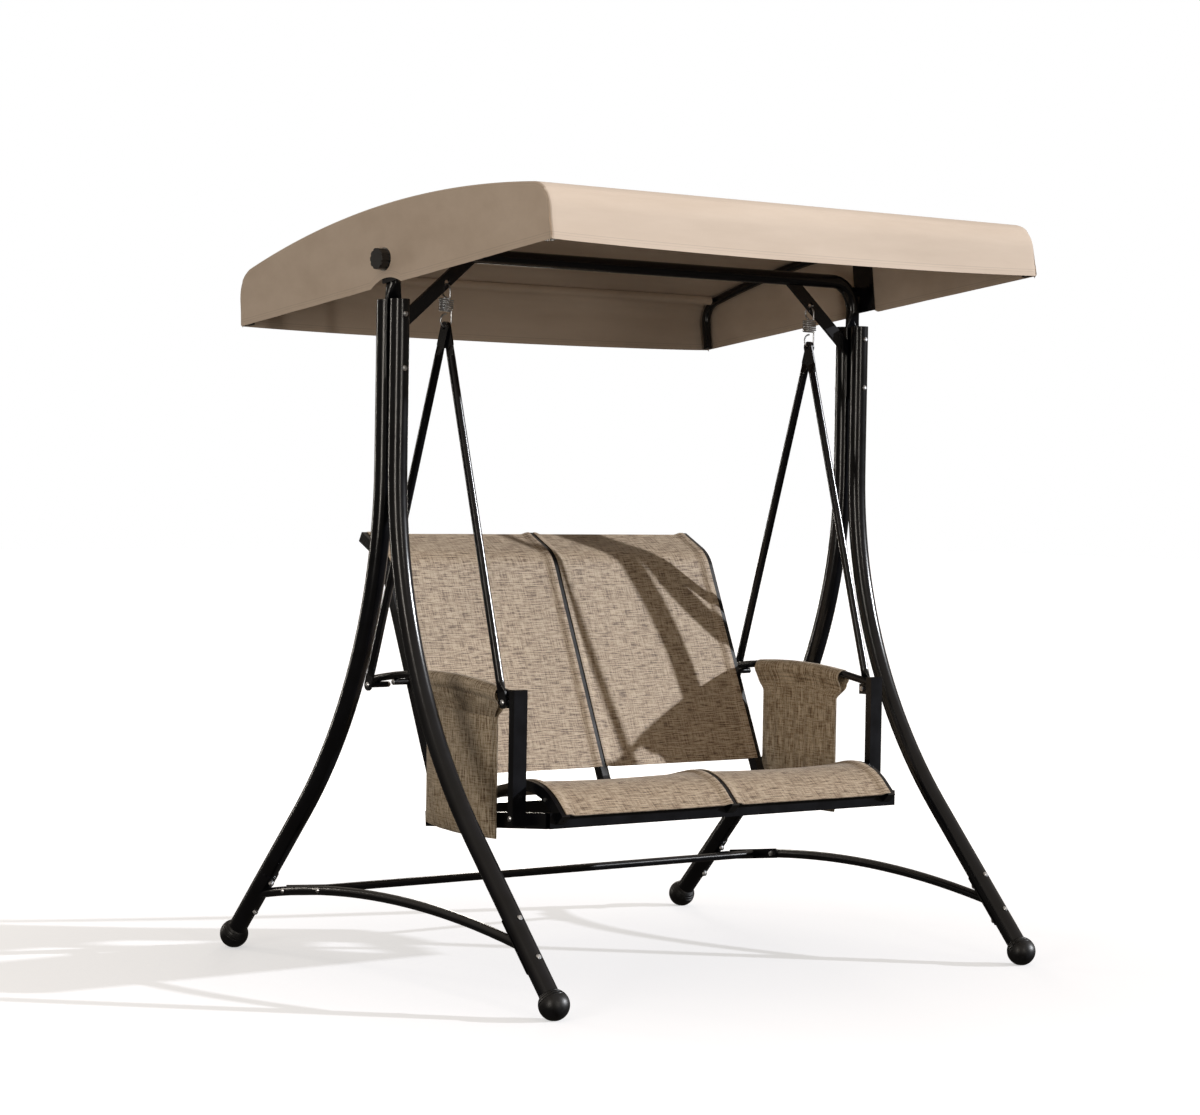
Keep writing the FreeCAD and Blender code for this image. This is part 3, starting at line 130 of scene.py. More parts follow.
polypropylene, skin = new_material("moulded_black_polypropylene", IOR=1.49)
place = add_node(polypropylene, "ShaderNodeTexCoord", {}).outputs["Object"]
scuff = add_node(polypropylene, "ShaderNodeTexNoise", {"Vector": place, "Scale": 1 / 0.012, "Detail": 5.0})
shade = add_node(polypropylene, "ShaderNodeValToRGB", {"Fac": scuff.outputs["Fac"]})
colour_steps(shade, (0.35, "#0B0B0D"), (0.75, "#1A1A1D"))
gloss = add_node(polypropylene, "ShaderNodeMapRange",
                 {"Value": scuff.outputs["Fac"], "To Min": 0.34, "To Max": 0.5})
grain = add_node(polypropylene, "ShaderNodeTexNoise", {"Vector": place, "Scale": 1 / 0.0009, "Detail": 1.0})
texture = add_node(polypropylene, "ShaderNodeBump",
                   {"Height": grain.outputs["Fac"], "Strength": 0.2, "Distance": 0.0002})
feed(polypropylene, skin, Base_Color=shade.outputs["Color"], Roughness=gloss.outputs["Result"],
     Normal=texture.outputs["Normal"])
finish_nodes("foot_plastic", polypropylene)


# ---------------------------------------------------------------- knobs and end caps
# Two fluted clamp knobs and the plugs in the open tube ends, moulded in black nylon. They are
# smoother than the feet, so their flutes catch a clear highlight.

nylon, skin = new_material("moulded_black_nylon", IOR=1.53)
place = add_node(nylon, "ShaderNodeTexCoord", {}).outputs["Object"]
flow = add_node(nylon, "ShaderNodeTexNoise", {"Vector": place, "Scale": 1 / 0.008, "Detail": 3.0})
shade = add_node(nylon, "ShaderNodeValToRGB", {"Fac": flow.outputs["Fac"]})
colour_steps(shade, (0.3, "#09090A"), (0.7, "#131315"))
gloss = add_node(nylon, "ShaderNodeMapRange", {"Value": flow.outputs["Fac"], "To Min": 0.24, "To Max": 0.36})
grain = add_node(nylon, "ShaderNodeTexNoise", {"Vector": place, "Scale": 1 / 0.0007})
texture = add_node(nylon, "ShaderNodeBump",
                   {"Height": grain.outputs["Fac"], "Strength": 0.1, "Distance": 0.0001})
feed(nylon, skin, Base_Color=shade.outputs["Color"], Roughness=gloss.outputs["Result"],
     Normal=texture.outputs["Normal"])
finish_nodes("black_plastic", nylon)


# ---------------------------------------------------------------- bolts, screws and springs
# Mild steel bolts, screws and the two coiled extension springs, barrel-plated with zinc and
# passivated: bluish white, a little cloudy, with fine tumbling scratches.

zinc, skin = new_material("bright_zinc_plate", Metallic=1.0)
place = add_node(zinc, "ShaderNodeTexCoord", {}).outputs["Object"]
cloud = add_node(zinc, "ShaderNodeTexNoise", {"Vector": place, "Scale": 1 / 0.006, "Detail": 5.0})
shade = add_node(zinc, "ShaderNodeValToRGB", {"Fac": cloud.outputs["Fac"]})
colour_steps(shade, (0.3, "#D0D3D8"), (0.7, "#F0F1F3"))
gloss = add_node(zinc, "ShaderNodeMapRange", {"Value": cloud.outputs["Fac"], "To Min": 0.26, "To Max": 0.42})
scratch = add_node(zinc, "ShaderNodeTexNoise", {"Vector": place, "Scale": 1 / 0.001, "Detail": 2.0})
texture = add_node(zinc, "ShaderNodeBump",
                   {"Height": scratch.outputs["Fac"], "Strength": 0.1, "Distance": 0.0001})
feed(zinc, skin, Base_Color=shade.outputs["Color"], Roughness=gloss.outputs["Result"],
     Normal=texture.outputs["Normal"])
finish_nodes("zinc_steel", zinc)

# The washers under the knobs are polished and nickel plated: a bright ring with faint turning marks.
nickel, skin = new_material("polished_nickel_plate", Metallic=1.0)
place = add_node(nickel, "ShaderNodeTexCoord", {}).outputs["Object"]
mist = add_node(nickel, "ShaderNodeTexNoise", {"Vector": place, "Scale": 1 / 0.01, "Detail": 3.0})
shade = add_node(nickel, "ShaderNodeValToRGB", {"Fac": mist.outputs["Fac"]})
colour_steps(shade, (0.3, "#D3D0CB"), (0.7, "#E6E4E0"))
gloss = add_node(nickel, "ShaderNodeMapRange", {"Value": mist.outputs["Fac"], "To Min": 0.12, "To Max": 0.24})
feed(nickel, skin, Base_Color=shade.outputs["Color"], Roughness=gloss.outputs["Result"])
finish_nodes("bright_steel", nickel)


# ---------------------------------------------------------------- slings
# Four lengths of outdoor sling cloth, two for the seat and two for the back, stretched between the
# three rails. It is polyester yarn coated in PVC and woven as an open mesh. Its long edges wrap
# round the rails' grooves and its ends are folded and stitched.

SEAT_CORNER = Vector((0.088, 0.429))  # where the seat line and the back line of the rails meet
SEAT_ANGLE = math.radians(13)  # the seat line rises to the front
BACK_ANGLE = math.radians(22.6)  # the back line leans from upright
KNEE_CREST = -0.260  # where the seat starts to roll down at the front
KNEE_ANGLE = math.radians(45)
KNEE_RADIUS = 0.150
KNEE_STRAIGHT = 0.042
BACK_TOP = 1.042  # height where the back starts to roll over
ROLL_ANGLE = math.radians(62)
ROLL_RADIUS = 0.080
ROLL_STRAIGHT = 0.085
BACK_SLING_FOOT = 0.500
SLING_RISE = 0.009  # the cloth's middle above the rails' centre line
RAIL_TOP = 0.0152  # the same where it laps on to a rail
SLING_THICKNESS = 0.0016
SEAT_SAG = 0.006
BACK_SAG = 0.003
RAIL_LAP = {"centre": 0.005, "outer": 0.010}


def tangent_length(radius, turn):
    return radius * math.tan(turn / 2)


def bent_line(start, corner, end, radius):
    """A line in the YZ plane from start to end that turns at corner. It gives the place and the
    sitter-side normal at a distance from start, and its whole length."""
    forward, onward = (corner - start).normalized(), (end - corner).normalized()
    turn = forward.angle_signed(onward)
    setback = tangent_length(radius, abs(turn))
    first, last = (corner - start).length - setback, (end - corner).length - setback
    length = first + radius * abs(turn) + last

    def at(distance):
        if distance <= first:
            point, heading = start + forward * distance, forward
        elif distance >= length - last:
            point, heading = end - onward * (length - distance), onward
        else:
            turned = math.copysign((distance - first) / radius, -turn)
            side = math.copysign(1, -turn)
            normal = Vector((-forward.y, forward.x)) * side
            centre = start + forward * first + normal * radius
            heading = Matrix.Rotation(turned, 2) @ forward
            point = centre - Matrix.Rotation(turned, 2) @ normal * radius
        return point, Vector((-heading.y, heading.x))

    return at, length


def heading(angle):
    return Vector((math.cos(angle), math.sin(angle)))


knee_setback = tangent_length(KNEE_RADIUS, SEAT_ANGLE + KNEE_ANGLE)
crest = SEAT_CORNER + heading(math.pi - SEAT_ANGLE) * (SEAT_CORNER.x - KNEE_CREST) / math.cos(SEAT_ANGLE)
knee = crest + heading(math.pi - SEAT_ANGLE) * knee_setback
seat_front = knee + heading(math.pi + KNEE_ANGLE) * (knee_setback + KNEE_STRAIGHT)
seat_line = bent_line(seat_front, knee, SEAT_CORNER, KNEE_RADIUS)

roll_setback = tangent_length(ROLL_RADIUS, ROLL_ANGLE - BACK_ANGLE)
up_back = heading(math.pi / 2 - BACK_ANGLE)
back_foot = SEAT_CORNER + up_back * (BACK_SLING_FOOT - SEAT_CORNER.y) / up_back.y
roll = SEAT_CORNER + up_back * ((BACK_TOP - SEAT_CORNER.y) / up_back.y + roll_setback)
back_head = roll + heading(math.pi / 2 - ROLL_ANGLE) * (roll_setback + ROLL_STRAIGHT)
back_line = bent_line(back_foot, roll, back_head, ROLL_RADIUS)


def smooth(low, high, amount):
    share = min(1, max(0, (amount - low) / (high - low)))
    return share * share * (3 - 2 * share)


def cloth_grid(name, across, along, width, length):
    """A flat grid of cloth whose UV map is its flat size in metres, and the shares of its width and
    length at each vertex."""
    bpy.ops.mesh.primitive_grid_add(x_subdivisions=across, y_subdivisions=along, size=1, calc_uvs=True)
    piece = bpy.context.object
    piece.name = piece.data.name = name
    flat = piece.data.uv_layers.active
    flat.name = "cloth"
    for corner in flat.data:
        corner.uv = (corner.uv.x * width, corner.uv.y * length)
    shares = [(vertex.co.x + 0.5, vertex.co.y + 0.5) for vertex in piece.data.vertices]
    return piece, shares


def note(piece, name, distances):
    """Keeps a distance in metres at each vertex for the cloth's material."""
    kept = piece.data.attributes.new(name, "FLOAT", "POINT")
    kept.data.foreach_set("value", distances)


def thicken(piece, thickness, hem_depth=0.0, single=1.0):
    """Gives cloth its thickness, with one layer's share of it outside the folded hems."""
    bpy.ops.object.select_all(action="DESELECT")
    piece.select_set(True)
    bpy.context.view_layer.objects.active = piece
    wall = piece.modifiers.new("thickness", "SOLIDIFY")
    wall.thickness, wall.offset = thickness, 0
    if hem_depth:
        layers = piece.vertex_groups.new(name="layers")
        for index, hem in enumerate(piece.data.attributes["hem"].data):
            layers.add([index], 1 if hem.value < hem_depth else 0.0, "REPLACE")
        wall.vertex_group = layers.name
        wall.thickness_vertex_group = single
    bpy.ops.object.modifier_apply(modifier=wall.name)
    bpy.ops.object.shade_smooth_by_angle(angle=math.radians(50))


END_HEM = 0.022  # how deep the ends are folded


def make_sling(node, line, sag, skip):
    """One sling between two rails; skip is how far its first end stays back from the rails' ends."""
    at, length = line
    low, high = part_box(node)
    left = low.x - RAIL_LAP["centre" if low.x > 0 else "outer"]
    right = high.x + RAIL_LAP["outer" if low.x > 0 else "centre"]
    inner_edges = (low.x, high.x)
    width, run = right - left, length - skip
    sling, shares = cloth_grid(node.replace("sling", "cloth"), 72, 88, width, run)
    hems = []
    for vertex, (across, along) in zip(sling.data.vertices, shares):
        spread = (1 - math.cos(math.pi * across)) / 2
        x, distance = left + width * spread, skip + run * along
        over_rail = max(smooth(0.024, 0.001, x - inner_edges[0]), smooth(0.024, 0.001, inner_edges[1] - x))
        belly = math.sin(math.pi * spread) * math.sin(math.pi * min(1, max(0, along))) ** 0.5
        ripple = 0.0006 * noise.noise(Vector((x * 9, distance * 14, low.x)))
        lift = SLING_RISE + (RAIL_TOP - SLING_RISE) * over_rail - (sag * belly + ripple) * (1 - over_rail)
        point, normal = at(distance)
        point = point + normal * lift
        vertex.co = (x, point.x, point.y)
        hems.append(run * min(along, 1 - along))
    for corner, loop in zip(sling.data.uv_layers.active.data, sling.data.loops):
        corner.uv.x = sling.data.vertices[loop.vertex_index].co.x - left
    note(sling, "hem", hems)
    thicken(sling, 0.0026, END_HEM, SLING_THICKNESS / 0.0026)
    return sling, (width, run)


# Sling mesh: beige PVC-coated yarn with brown and cream slubs that mostly run across the seat. The
# real yarns are 0.8 mm apart and are drawn 2.4 mm apart, so that they show. The coating gives the
# threads a soft sheen.
YARN_PITCH = 0.0024
SLUB_LENGTH = 0.048
SLUB_WIDTH = 0.0032


def sling_mesh(name, slub_turn, pale, middle, dark):
    """The mesh, with its slubs along the cloth's width, or along its length when turned by 90."""
    cloth, skin = new_material(name, IOR=1.5, Sheen_Weight=0.15, Sheen_Roughness=0.5)
    flat = add_node(cloth, "ShaderNodeUVMap", {}, uv_map="cloth").outputs["UV"]
    turned = add_node(cloth, "ShaderNodeMapping", {"Vector": flat, "Rotation": (0, 0, slub_turn)})
    turned = turned.outputs["Vector"]
    weft_space = add_node(cloth, "ShaderNodeMapping",
                          {"Vector": turned, "Scale": (1 / SLUB_LENGTH, 1 / SLUB_WIDTH, 1)})
    weft = add_node(cloth, "ShaderNodeTexNoise",
                    {"Vector": weft_space.outputs["Vector"], "Scale": 1.0, "Detail": 4.0, "Roughness": 0.72})
    warp_space = add_node(cloth, "ShaderNodeMapping",
                          {"Vector": turned, "Scale": (1 / SLUB_WIDTH, 1 / SLUB_LENGTH, 1)})
    warp = add_node(cloth, "ShaderNodeTexNoise",
                    {"Vector": warp_space.outputs["Vector"], "Scale": 1.0, "Detail": 4.0, "Roughness": 0.7})
    both = add_node(cloth, "ShaderNodeMix",
                    {"Factor": 0.36, "A": weft.outputs["Fac"], "B": warp.outputs["Fac"]})
    yarn = add_node(cloth, "ShaderNodeValToRGB", {"Fac": both.outputs["Result"]})
    colour_steps(yarn, (0.425, dark), (0.49, middle), (0.555, pale))
    across = add_node(cloth, "ShaderNodeTexWave",
                      {"Vector": turned, "Scale": math.pi / 10 / YARN_PITCH}, bands_direction="X")
    along = add_node(cloth, "ShaderNodeTexWave",
                     {"Vector": turned, "Scale": math.pi / 10 / YARN_PITCH}, bands_direction="Y")
    weave = add_node(cloth, "ShaderNodeMath", {0: across.outputs["Fac"], 1: along.outputs["Fac"]},
                     operation="MULTIPLY")
    holes = add_node(cloth, "ShaderNodeMapRange",
                     {"Value": weave.outputs["Value"], "From Max": 0.25, "To Min": 0.55, "To Max": 1.0})
    hem = add_node(cloth, "ShaderNodeAttribute", {}, attribute_name="hem").outputs["Fac"]
    off_seam = add_node(cloth, "ShaderNodeMath", {0: hem, 1: 0.018}, operation="SUBTRACT")
    off_seam = add_node(cloth, "ShaderNodeMath", {0: off_seam.outputs["Value"]}, operation="ABSOLUTE")
    seam = add_node(cloth, "ShaderNodeMapRange",
                    {"Value": off_seam.outputs["Value"], "From Max": 0.0016, "To Min": 0.62, "To Max": 1.0})
    shading = add_node(cloth, "ShaderNodeMath", {0: holes.outputs["Result"], 1: seam.outputs["Result"]},
                       operation="MULTIPLY")
    colour = add_node(cloth, "ShaderNodeMix",
                      {"Factor": 1.0, "A": yarn.outputs["Color"], "B": shading.outputs["Value"]},
                      data_type="RGBA", blend_type="MULTIPLY")
    bump = add_node(cloth, "ShaderNodeBump",
                    {"Height": shading.outputs["Value"], "Strength": 0.5, "Distance": 0.0008})
    gloss = add_node(cloth, "ShaderNodeMapRange",
                     {"Value": both.outputs["Result"], "To Min": 0.5, "To Max": 0.7})
    feed(cloth, skin, Base_Color=colour.outputs["Result"], Roughness=gloss.outputs["Result"],
         Normal=bump.outputs["Normal"])
    return cloth


mesh_across = sling_mesh("woven_pvc_coated_mesh", 0.0, "#D2BEA3", "#B39B80", "#60472F")
for side in ("left", "right"):
    for part, line, sag, skip in (("seat", seat_line, SEAT_SAG, 0.003), ("back", back_line, BACK_SAG, 0.0)):
        node = f"{part}_sling_{side}"
        run = line
        if part == "seat":
            ends_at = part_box(node)[1].y
            run = (line[0], line[1] - (SEAT_CORNER.x - ends_at) / math.cos(SEAT_ANGLE))
        sling, cut = make_sling(node, run, sag, skip)
        sling.data.materials.append(mesh_across)
        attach(sling, "seat")
        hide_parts(node)


# ---------------------------------------------------------------- armrest pouches
# A pouch hangs on each armrest: a sleeve of the same cloth round the tube, a back wall below it and
# a front panel sewn to the back along its sides and bottom. It weighs little, so it hangs in soft
# upright folds, and its bottom edge is not quite level.

ARM_X = 0.616
ARM_HEIGHT = 0.774  # the tube's centre at its highest
ARM_CREST = 0.036
ARM_RADIUS = 1.580
SLEEVE_SINK = 0.0107
SLEEVE_RADIUS = 0.0217
SLEEVE_WIDTH = 0.345
BAG_WIDTH = 0.300
BAG_FOOT = 0.3715
BAG_MOUTH = 0.697
BAG_BACK = 0.0072  # the back wall, inboard of the tube's centre
BAG_BELLY = 0.028
POUCH_THICKNESS = 0.0015


def sleeve_height(y):
    """The middle of the sleeve's loop: the armrest is a shallow arch, and the loop hangs on it."""
    drop = ARM_RADIUS - math.sqrt(ARM_RADIUS**2 - (y - ARM_CREST) ** 2)
    return ARM_HEIGHT - drop - SLEEVE_SINK


panel = BAG_MOUTH - BAG_FOOT
wall = 0.728 - BAG_FOOT
loop = SLEEVE_RADIUS * math.radians(285)
tail = 0.062
pouch_run = panel + wall + loop + tail


def pouch_section(distance, share):
    """The cloth's line at one share of the width: down the front panel, up the back wall, round the
    sleeve and down to its seam inside the mouth. Gives the distance out, the height, the folds."""
    centre = sleeve_height(0)
    if distance < panel:
        height = BAG_MOUTH - distance
        low = (height - BAG_FOOT) / panel
        belly = (1 - abs(2 * share - 1) ** 5) * (1 - (1 - min(1, low * 3)) ** 2) ** 0.5
        return -BAG_BACK + 0.0026 + BAG_BELLY * belly * (0.8 + 0.2 * low), height, 1 - low * 0.6
    distance -= panel
    if distance < wall:
        return -BAG_BACK, BAG_FOOT + distance, 1 - 0.75 * distance / wall
    distance -= wall
    if distance < loop:
        angle = math.radians(-128) - distance / SLEEVE_RADIUS
        return SLEEVE_RADIUS * math.cos(angle), centre + SLEEVE_RADIUS * math.sin(angle), 0.0
    share_down = (distance - loop) / tail
    angle = math.radians(-128 - 285)
    out, height = SLEEVE_RADIUS * math.cos(angle), centre + SLEEVE_RADIUS * math.sin(angle)
    return out + (-0.001 - out) * smooth(0, 1, share_down), height - 0.058 * share_down, 0.0


def make_pouch(side, sign, middle, fold_depth):
    """One pouch as a single strip of cloth, wider at the sleeve than at the bag."""
    pouch, shares = cloth_grid(f"pouch_cloth_{side}", 70, 190, SLEEVE_WIDTH, pouch_run)
    hems = []
    for vertex, (across, along) in zip(pouch.data.vertices, shares):
        distance = pouch_run * along
        out, height, slack = pouch_section(distance, across)
        width = BAG_WIDTH + (SLEEVE_WIDTH - BAG_WIDTH) * smooth(0.695, 0.733, height)
        if distance > panel + wall + loop:
            width = SLEEVE_WIDTH - (SLEEVE_WIDTH - BAG_WIDTH + 0.01) * smooth(0.0, 1.0, (0.742 - height) / 0.05)
        y = middle + (across - 0.5) * width
        height += (sleeve_height(y) - sleeve_height(0)) * smooth(0.60, 0.74, height)
        rear = max(0, across - 0.35) / 0.65
        height += 0.016 * rear**2 * smooth(0.52, 0.37, height)
        folds = math.sin(y * 150 + 2.2 * noise.noise(Vector((y * 9, height * 5, sign)))) * 0.6
        folds += 0.9 * noise.noise(Vector((y * 28, height * 4, 3 * sign)))
        out += fold_depth * folds * slack * smooth(0, 0.12, min(across, 1 - across))
        vertex.co = (sign * (ARM_X + out), y, height)
        seam = abs(height - BAG_MOUTH) + 0.004 if distance < panel else 0.05
        hems.append(min(seam + 0.006, width * min(across, 1 - across) + 0.010, 0.05))
    note(pouch, "hem", hems)
    thicken(pouch, POUCH_THICKNESS)
    if sign > 0:
        bpy.ops.object.mode_set(mode="EDIT")
        bpy.ops.mesh.select_all(action="SELECT")
        bpy.ops.mesh.normals_make_consistent(inside=False)
        bpy.ops.object.mode_set(mode="OBJECT")
    return pouch


# The pouches' copy of the sling mesh has paler slub colours than the slings' copy: painted light on the same cloth.
mesh_along_painted_paler = sling_mesh("woven_mesh_cut_lengthways_painted_paler", math.pi / 2, "#E4D3B9", "#BCA688", "#6E573D")
for side, sign, fold_depth in (("left", -1, 0.0012), ("right", 1, 0.0030)):
    node = f"pouch_{side}"
    low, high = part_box(node)
    pouch = make_pouch(side, sign, (low.y + high.y) / 2, fold_depth)
    pouch.data.materials.append(mesh_along_painted_paler)
    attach(pouch, "seat")
    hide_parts(node)


# ---------------------------------------------------------------- canopy cover
# One tailored cover of tightly woven polyester: a long top panel that falls over the front and rear
# bows as valances, and two side panels sewn to it round the edge. It is pulled over the hoops, so
# it is taut at the tubes and slack between them. The side panels are cut away under the knobs.

CANOPY_TILT = math.radians(7.2)
PIVOT_HEIGHT = 1.835
HALF_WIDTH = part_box("canopy_cover")[1].x
HALF_DEPTH = 0.683
HEM_LEVEL = -0.067
ARCH_RADIUS = 3.350
ARCH_PEAK = 0.140
SHOULDER_RADIUS = 0.075
NOTCH_RADIUS = 0.122
NOTCH_HEIGHT = 0.019
COVER_THICKNESS = 0.0012
HOOP_X = 0.8147
BOW_DEPTH = 0.608
PANEL_STEPS = 300

arch_middle = ARCH_PEAK - ARCH_RADIUS
shoulder_x = HALF_DEPTH - SHOULDER_RADIUS
shoulder_y = arch_middle + math.sqrt((ARCH_RADIUS - SHOULDER_RADIUS) ** 2 - shoulder_x**2)
arch_half_angle = math.atan2(shoulder_x, shoulder_y - arch_middle)
valance = shoulder_y - HEM_LEVEL
shoulder_run = SHOULDER_RADIUS * (math.pi / 2 - arch_half_angle)
arch_run = 2 * ARCH_RADIUS * arch_half_angle
panel_run = 2 * (valance + shoulder_run) + arch_run


def panel_line(distance):
    """The side view of the top panel, from the front hem up over the top to the rear hem."""
    mirrored = distance > panel_run / 2
    if mirrored:
        distance = panel_run - distance
    if distance < valance:
        depth, level = -HALF_DEPTH, HEM_LEVEL + distance
    elif distance < valance + shoulder_run:
        angle = math.pi - (distance - valance) / SHOULDER_RADIUS
        depth = -shoulder_x + SHOULDER_RADIUS * math.cos(angle)
        level = shoulder_y + SHOULDER_RADIUS * math.sin(angle)
    else:
        angle = arch_half_angle - (distance - valance - shoulder_run) / ARCH_RADIUS
        depth, level = -ARCH_RADIUS * math.sin(angle), arch_middle + ARCH_RADIUS * math.cos(angle)
    return Vector((-depth if mirrored else depth, level))


def side_hem(depth):
    """The side panel's lower edge, with the half-moon cut-out under the knob."""
    notch = HEM_LEVEL + NOTCH_HEIGHT - NOTCH_RADIUS
    inside = NOTCH_RADIUS**2 - depth**2
    return max(HEM_LEVEL, notch + math.sqrt(inside)) if inside > 0 else HEM_LEVEL


def set_in_place(x, depth, level):
    """From the cover's own depth and level to the swing's frame, tilted about the pivots."""
    turned = Matrix.Rotation(-CANOPY_TILT, 2) @ Vector((depth, level))
    return Vector((x, turned.x, PIVOT_HEIGHT + turned.y))


def slack_cloth(x, depth, level):
    """How the cover gives between its supports: the top sags, the valances hang and ripple."""
    between_hoops = math.cos(math.pi / 2 * min(1, abs(x) / HOOP_X))
    between_bows = math.cos(math.pi / 2 * min(1, abs(depth) / BOW_DEPTH))
    sag = 0.010 * between_hoops**0.8 * between_bows**0.7
    wave = noise.noise(Vector((x * 2.2, depth * 9, level * 9)))
    fine = noise.noise(Vector((x * 5, depth * 22, level * 30 + 7)))
    free = smooth(shoulder_y + 0.01, HEM_LEVEL, level)
    x_pull = between_hoops
    push = (0.003 * wave + 0.0012 * fine) * (0.3 + 0.7 * free)
    if abs(depth) > HALF_DEPTH - 0.02:
        depth -= math.copysign(0.003 + push + 0.004 * x_pull * free, depth)
        level -= 0.009 * between_hoops**0.7 * free
    elif abs(x) > HALF_WIDTH - 0.01:
        side_free = smooth(0.06, HEM_LEVEL, level) * smooth(0.05, 0.20, HALF_DEPTH - abs(depth))
        off_plate = smooth(0.08, 0.18, abs(depth))
        x -= math.copysign((0.0004 + 0.0030 * max(0, wave + 0.4) * side_free) * off_plate, x)
    else:
        level -= sag + max(0, push) * between_bows
    return x, depth, level


bpy.ops.object.select_all(action="DESELECT")
top_width = 2 * HALF_WIDTH
cover, shares = cloth_grid("canopy_cloth", 84, PANEL_STEPS, top_width, panel_run)
parts = [cover]
for vertex, (across, along) in zip(cover.data.vertices, shares):
    depth, level = panel_line(panel_run * along)
    vertex.co = (HALF_WIDTH * (2 * across - 1), depth, level)
for sign in (-1, 1):
    panel_piece, shares = cloth_grid("side_panel", 18, PANEL_STEPS, 0.2, panel_run)
    parts.append(panel_piece)
    for vertex, (down, along) in zip(panel_piece.data.vertices, shares):
        edge = panel_line(panel_run * along)
        depth = -HALF_DEPTH + 2 * HALF_DEPTH * along
        foot = Vector((depth, side_hem(depth)))
        vertex.co = (sign * HALF_WIDTH, *edge.lerp(foot, down))
    for corner, loop in zip(panel_piece.data.uv_layers.active.data, panel_piece.data.loops):
        corner.uv = panel_piece.data.vertices[loop.vertex_index].co.yz

bpy.ops.object.select_all(action="DESELECT")
for piece in parts:
    piece.select_set(True)
bpy.context.view_layer.objects.active = cover
bpy.ops.object.join()
bpy.ops.object.mode_set(mode="EDIT")
bpy.ops.mesh.select_all(action="SELECT")
bpy.ops.mesh.remove_doubles(threshold=0.0002)
bpy.ops.mesh.dissolve_degenerate(threshold=0.0002)
bpy.ops.mesh.normals_make_consistent(inside=False)
bpy.ops.object.mode_set(mode="OBJECT")

# The sewn edge between top and side panels is rounded by the hoop under it.
bpy.ops.object.mode_set(mode="EDIT")
bpy.ops.mesh.select_all(action="DESELECT")
bpy.ops.mesh.select_mode(type="EDGE")
bpy.ops.object.mode_set(mode="OBJECT")
for edge in cover.data.edges:
    ends = [cover.data.vertices[i].co for i in edge.vertices]
    on_side = all(abs(abs(end.x) - HALF_WIDTH) < 1e-5 for end in ends)
    seam_run = all(min((panel_line(panel_run * s / PANEL_STEPS) - end.yz).length
                       for s in range(max(0, round((end.y / HALF_DEPTH + 1) / 2 * PANEL_STEPS) - 30),
                                      min(PANEL_STEPS, round((end.y / HALF_DEPTH + 1) / 2 * PANEL_STEPS) + 30) + 1))
                   < 1e-4 for end in ends) if on_side else False
    edge.select = seam_run
bpy.ops.object.mode_set(mode="EDIT")
bpy.ops.mesh.bevel(offset=0.009, segments=3, profile=0.6)
bpy.ops.object.mode_set(mode="OBJECT")

hems, seams = [], []
for vertex in cover.data.vertices:
    x, depth, level = vertex.co
    lower_edge = side_hem(depth) if abs(x) > HALF_WIDTH - 0.02 else HEM_LEVEL
    hems.append(min(0.06, max(0, level - lower_edge)))
    from_side = HALF_WIDTH - abs(x)
    edge_level = arch_middle + math.sqrt(ARCH_RADIUS**2 - depth**2)
    if abs(depth) > ARCH_RADIUS * math.sin(arch_half_angle):
        past = abs(depth) - shoulder_x
        edge_level = shoulder_y + math.sqrt(max(0, SHOULDER_RADIUS**2 - past**2))
    inward = min(abs(edge_level - level), HALF_DEPTH - abs(depth)) if from_side < 0.004 else from_side
    seams.append(min(0.06, max(0, inward)))
    vertex.co = set_in_place(*slack_cloth(x, depth, level))
note(cover, "hem", hems)
note(cover, "seam", seams)
thicken(cover, COVER_THICKNESS, 0.019, 0.62)

# A hole for each tilt stud, hidden under its washer.
for sign in (-1, 1):
    bpy.ops.mesh.primitive_cylinder_add(vertices=24, radius=0.0046, depth=0.03,
                                        location=(sign * HALF_WIDTH, 0, PIVOT_HEIGHT),
                                        rotation=(0, math.pi / 2, 0))
    punch = bpy.context.object
    hole = cover.modifiers.new("stud hole", "BOOLEAN")
    hole.object, hole.operation, hole.solver = punch, "DIFFERENCE", "EXACT"
    bpy.ops.object.select_all(action="DESELECT")
    bpy.context.view_layer.objects.active = cover
    bpy.ops.object.modifier_apply(modifier=hole.name)
    bpy.data.objects.remove(punch)

# Canopy polyester: plain woven 300 denier yarn, dyed beige and coated inside, so it looks matt and
# warmer where light comes back off it. Its tone is painted paler and darker in soft level bands, as
# painted shade of the cloth's slight wrinkles. The 0.5 mm yarns are drawn 2 mm apart, so that they show.
# Hems carry a double row of stitches.
CANOPY_PITCH = 0.002
polyester, skin = new_material("woven_polyester_canopy", IOR=1.5, Sheen_Weight=0.12, Sheen_Roughness=0.6)
place = add_node(polyester, "ShaderNodeTexCoord", {}).outputs["Object"]
# The tone changes fastest with height, so its paler and darker bands run level: painted wrinkle shade.
wrinkle_band_space = add_node(polyester, "ShaderNodeMapping", {"Vector": place, "Scale": (2.0, 7.0, 12.0)})
wrinkle_band = add_node(polyester, "ShaderNodeTexNoise",
                 {"Vector": wrinkle_band_space.outputs["Vector"], "Scale": 1.0, "Detail": 5.0, "Roughness": 0.6})
painted_wrinkle_shade = add_node(polyester, "ShaderNodeValToRGB", {"Fac": wrinkle_band.outputs["Fac"]})
colour_steps(painted_wrinkle_shade, (0.3, "#CFBCA9"), (0.7, "#DCCAB8"))
flat = add_node(polyester, "ShaderNodeUVMap", {}, uv_map="cloth").outputs["UV"]
warp = add_node(polyester, "ShaderNodeTexWave",
                {"Vector": flat, "Scale": math.pi / 10 / CANOPY_PITCH}, bands_direction="X")
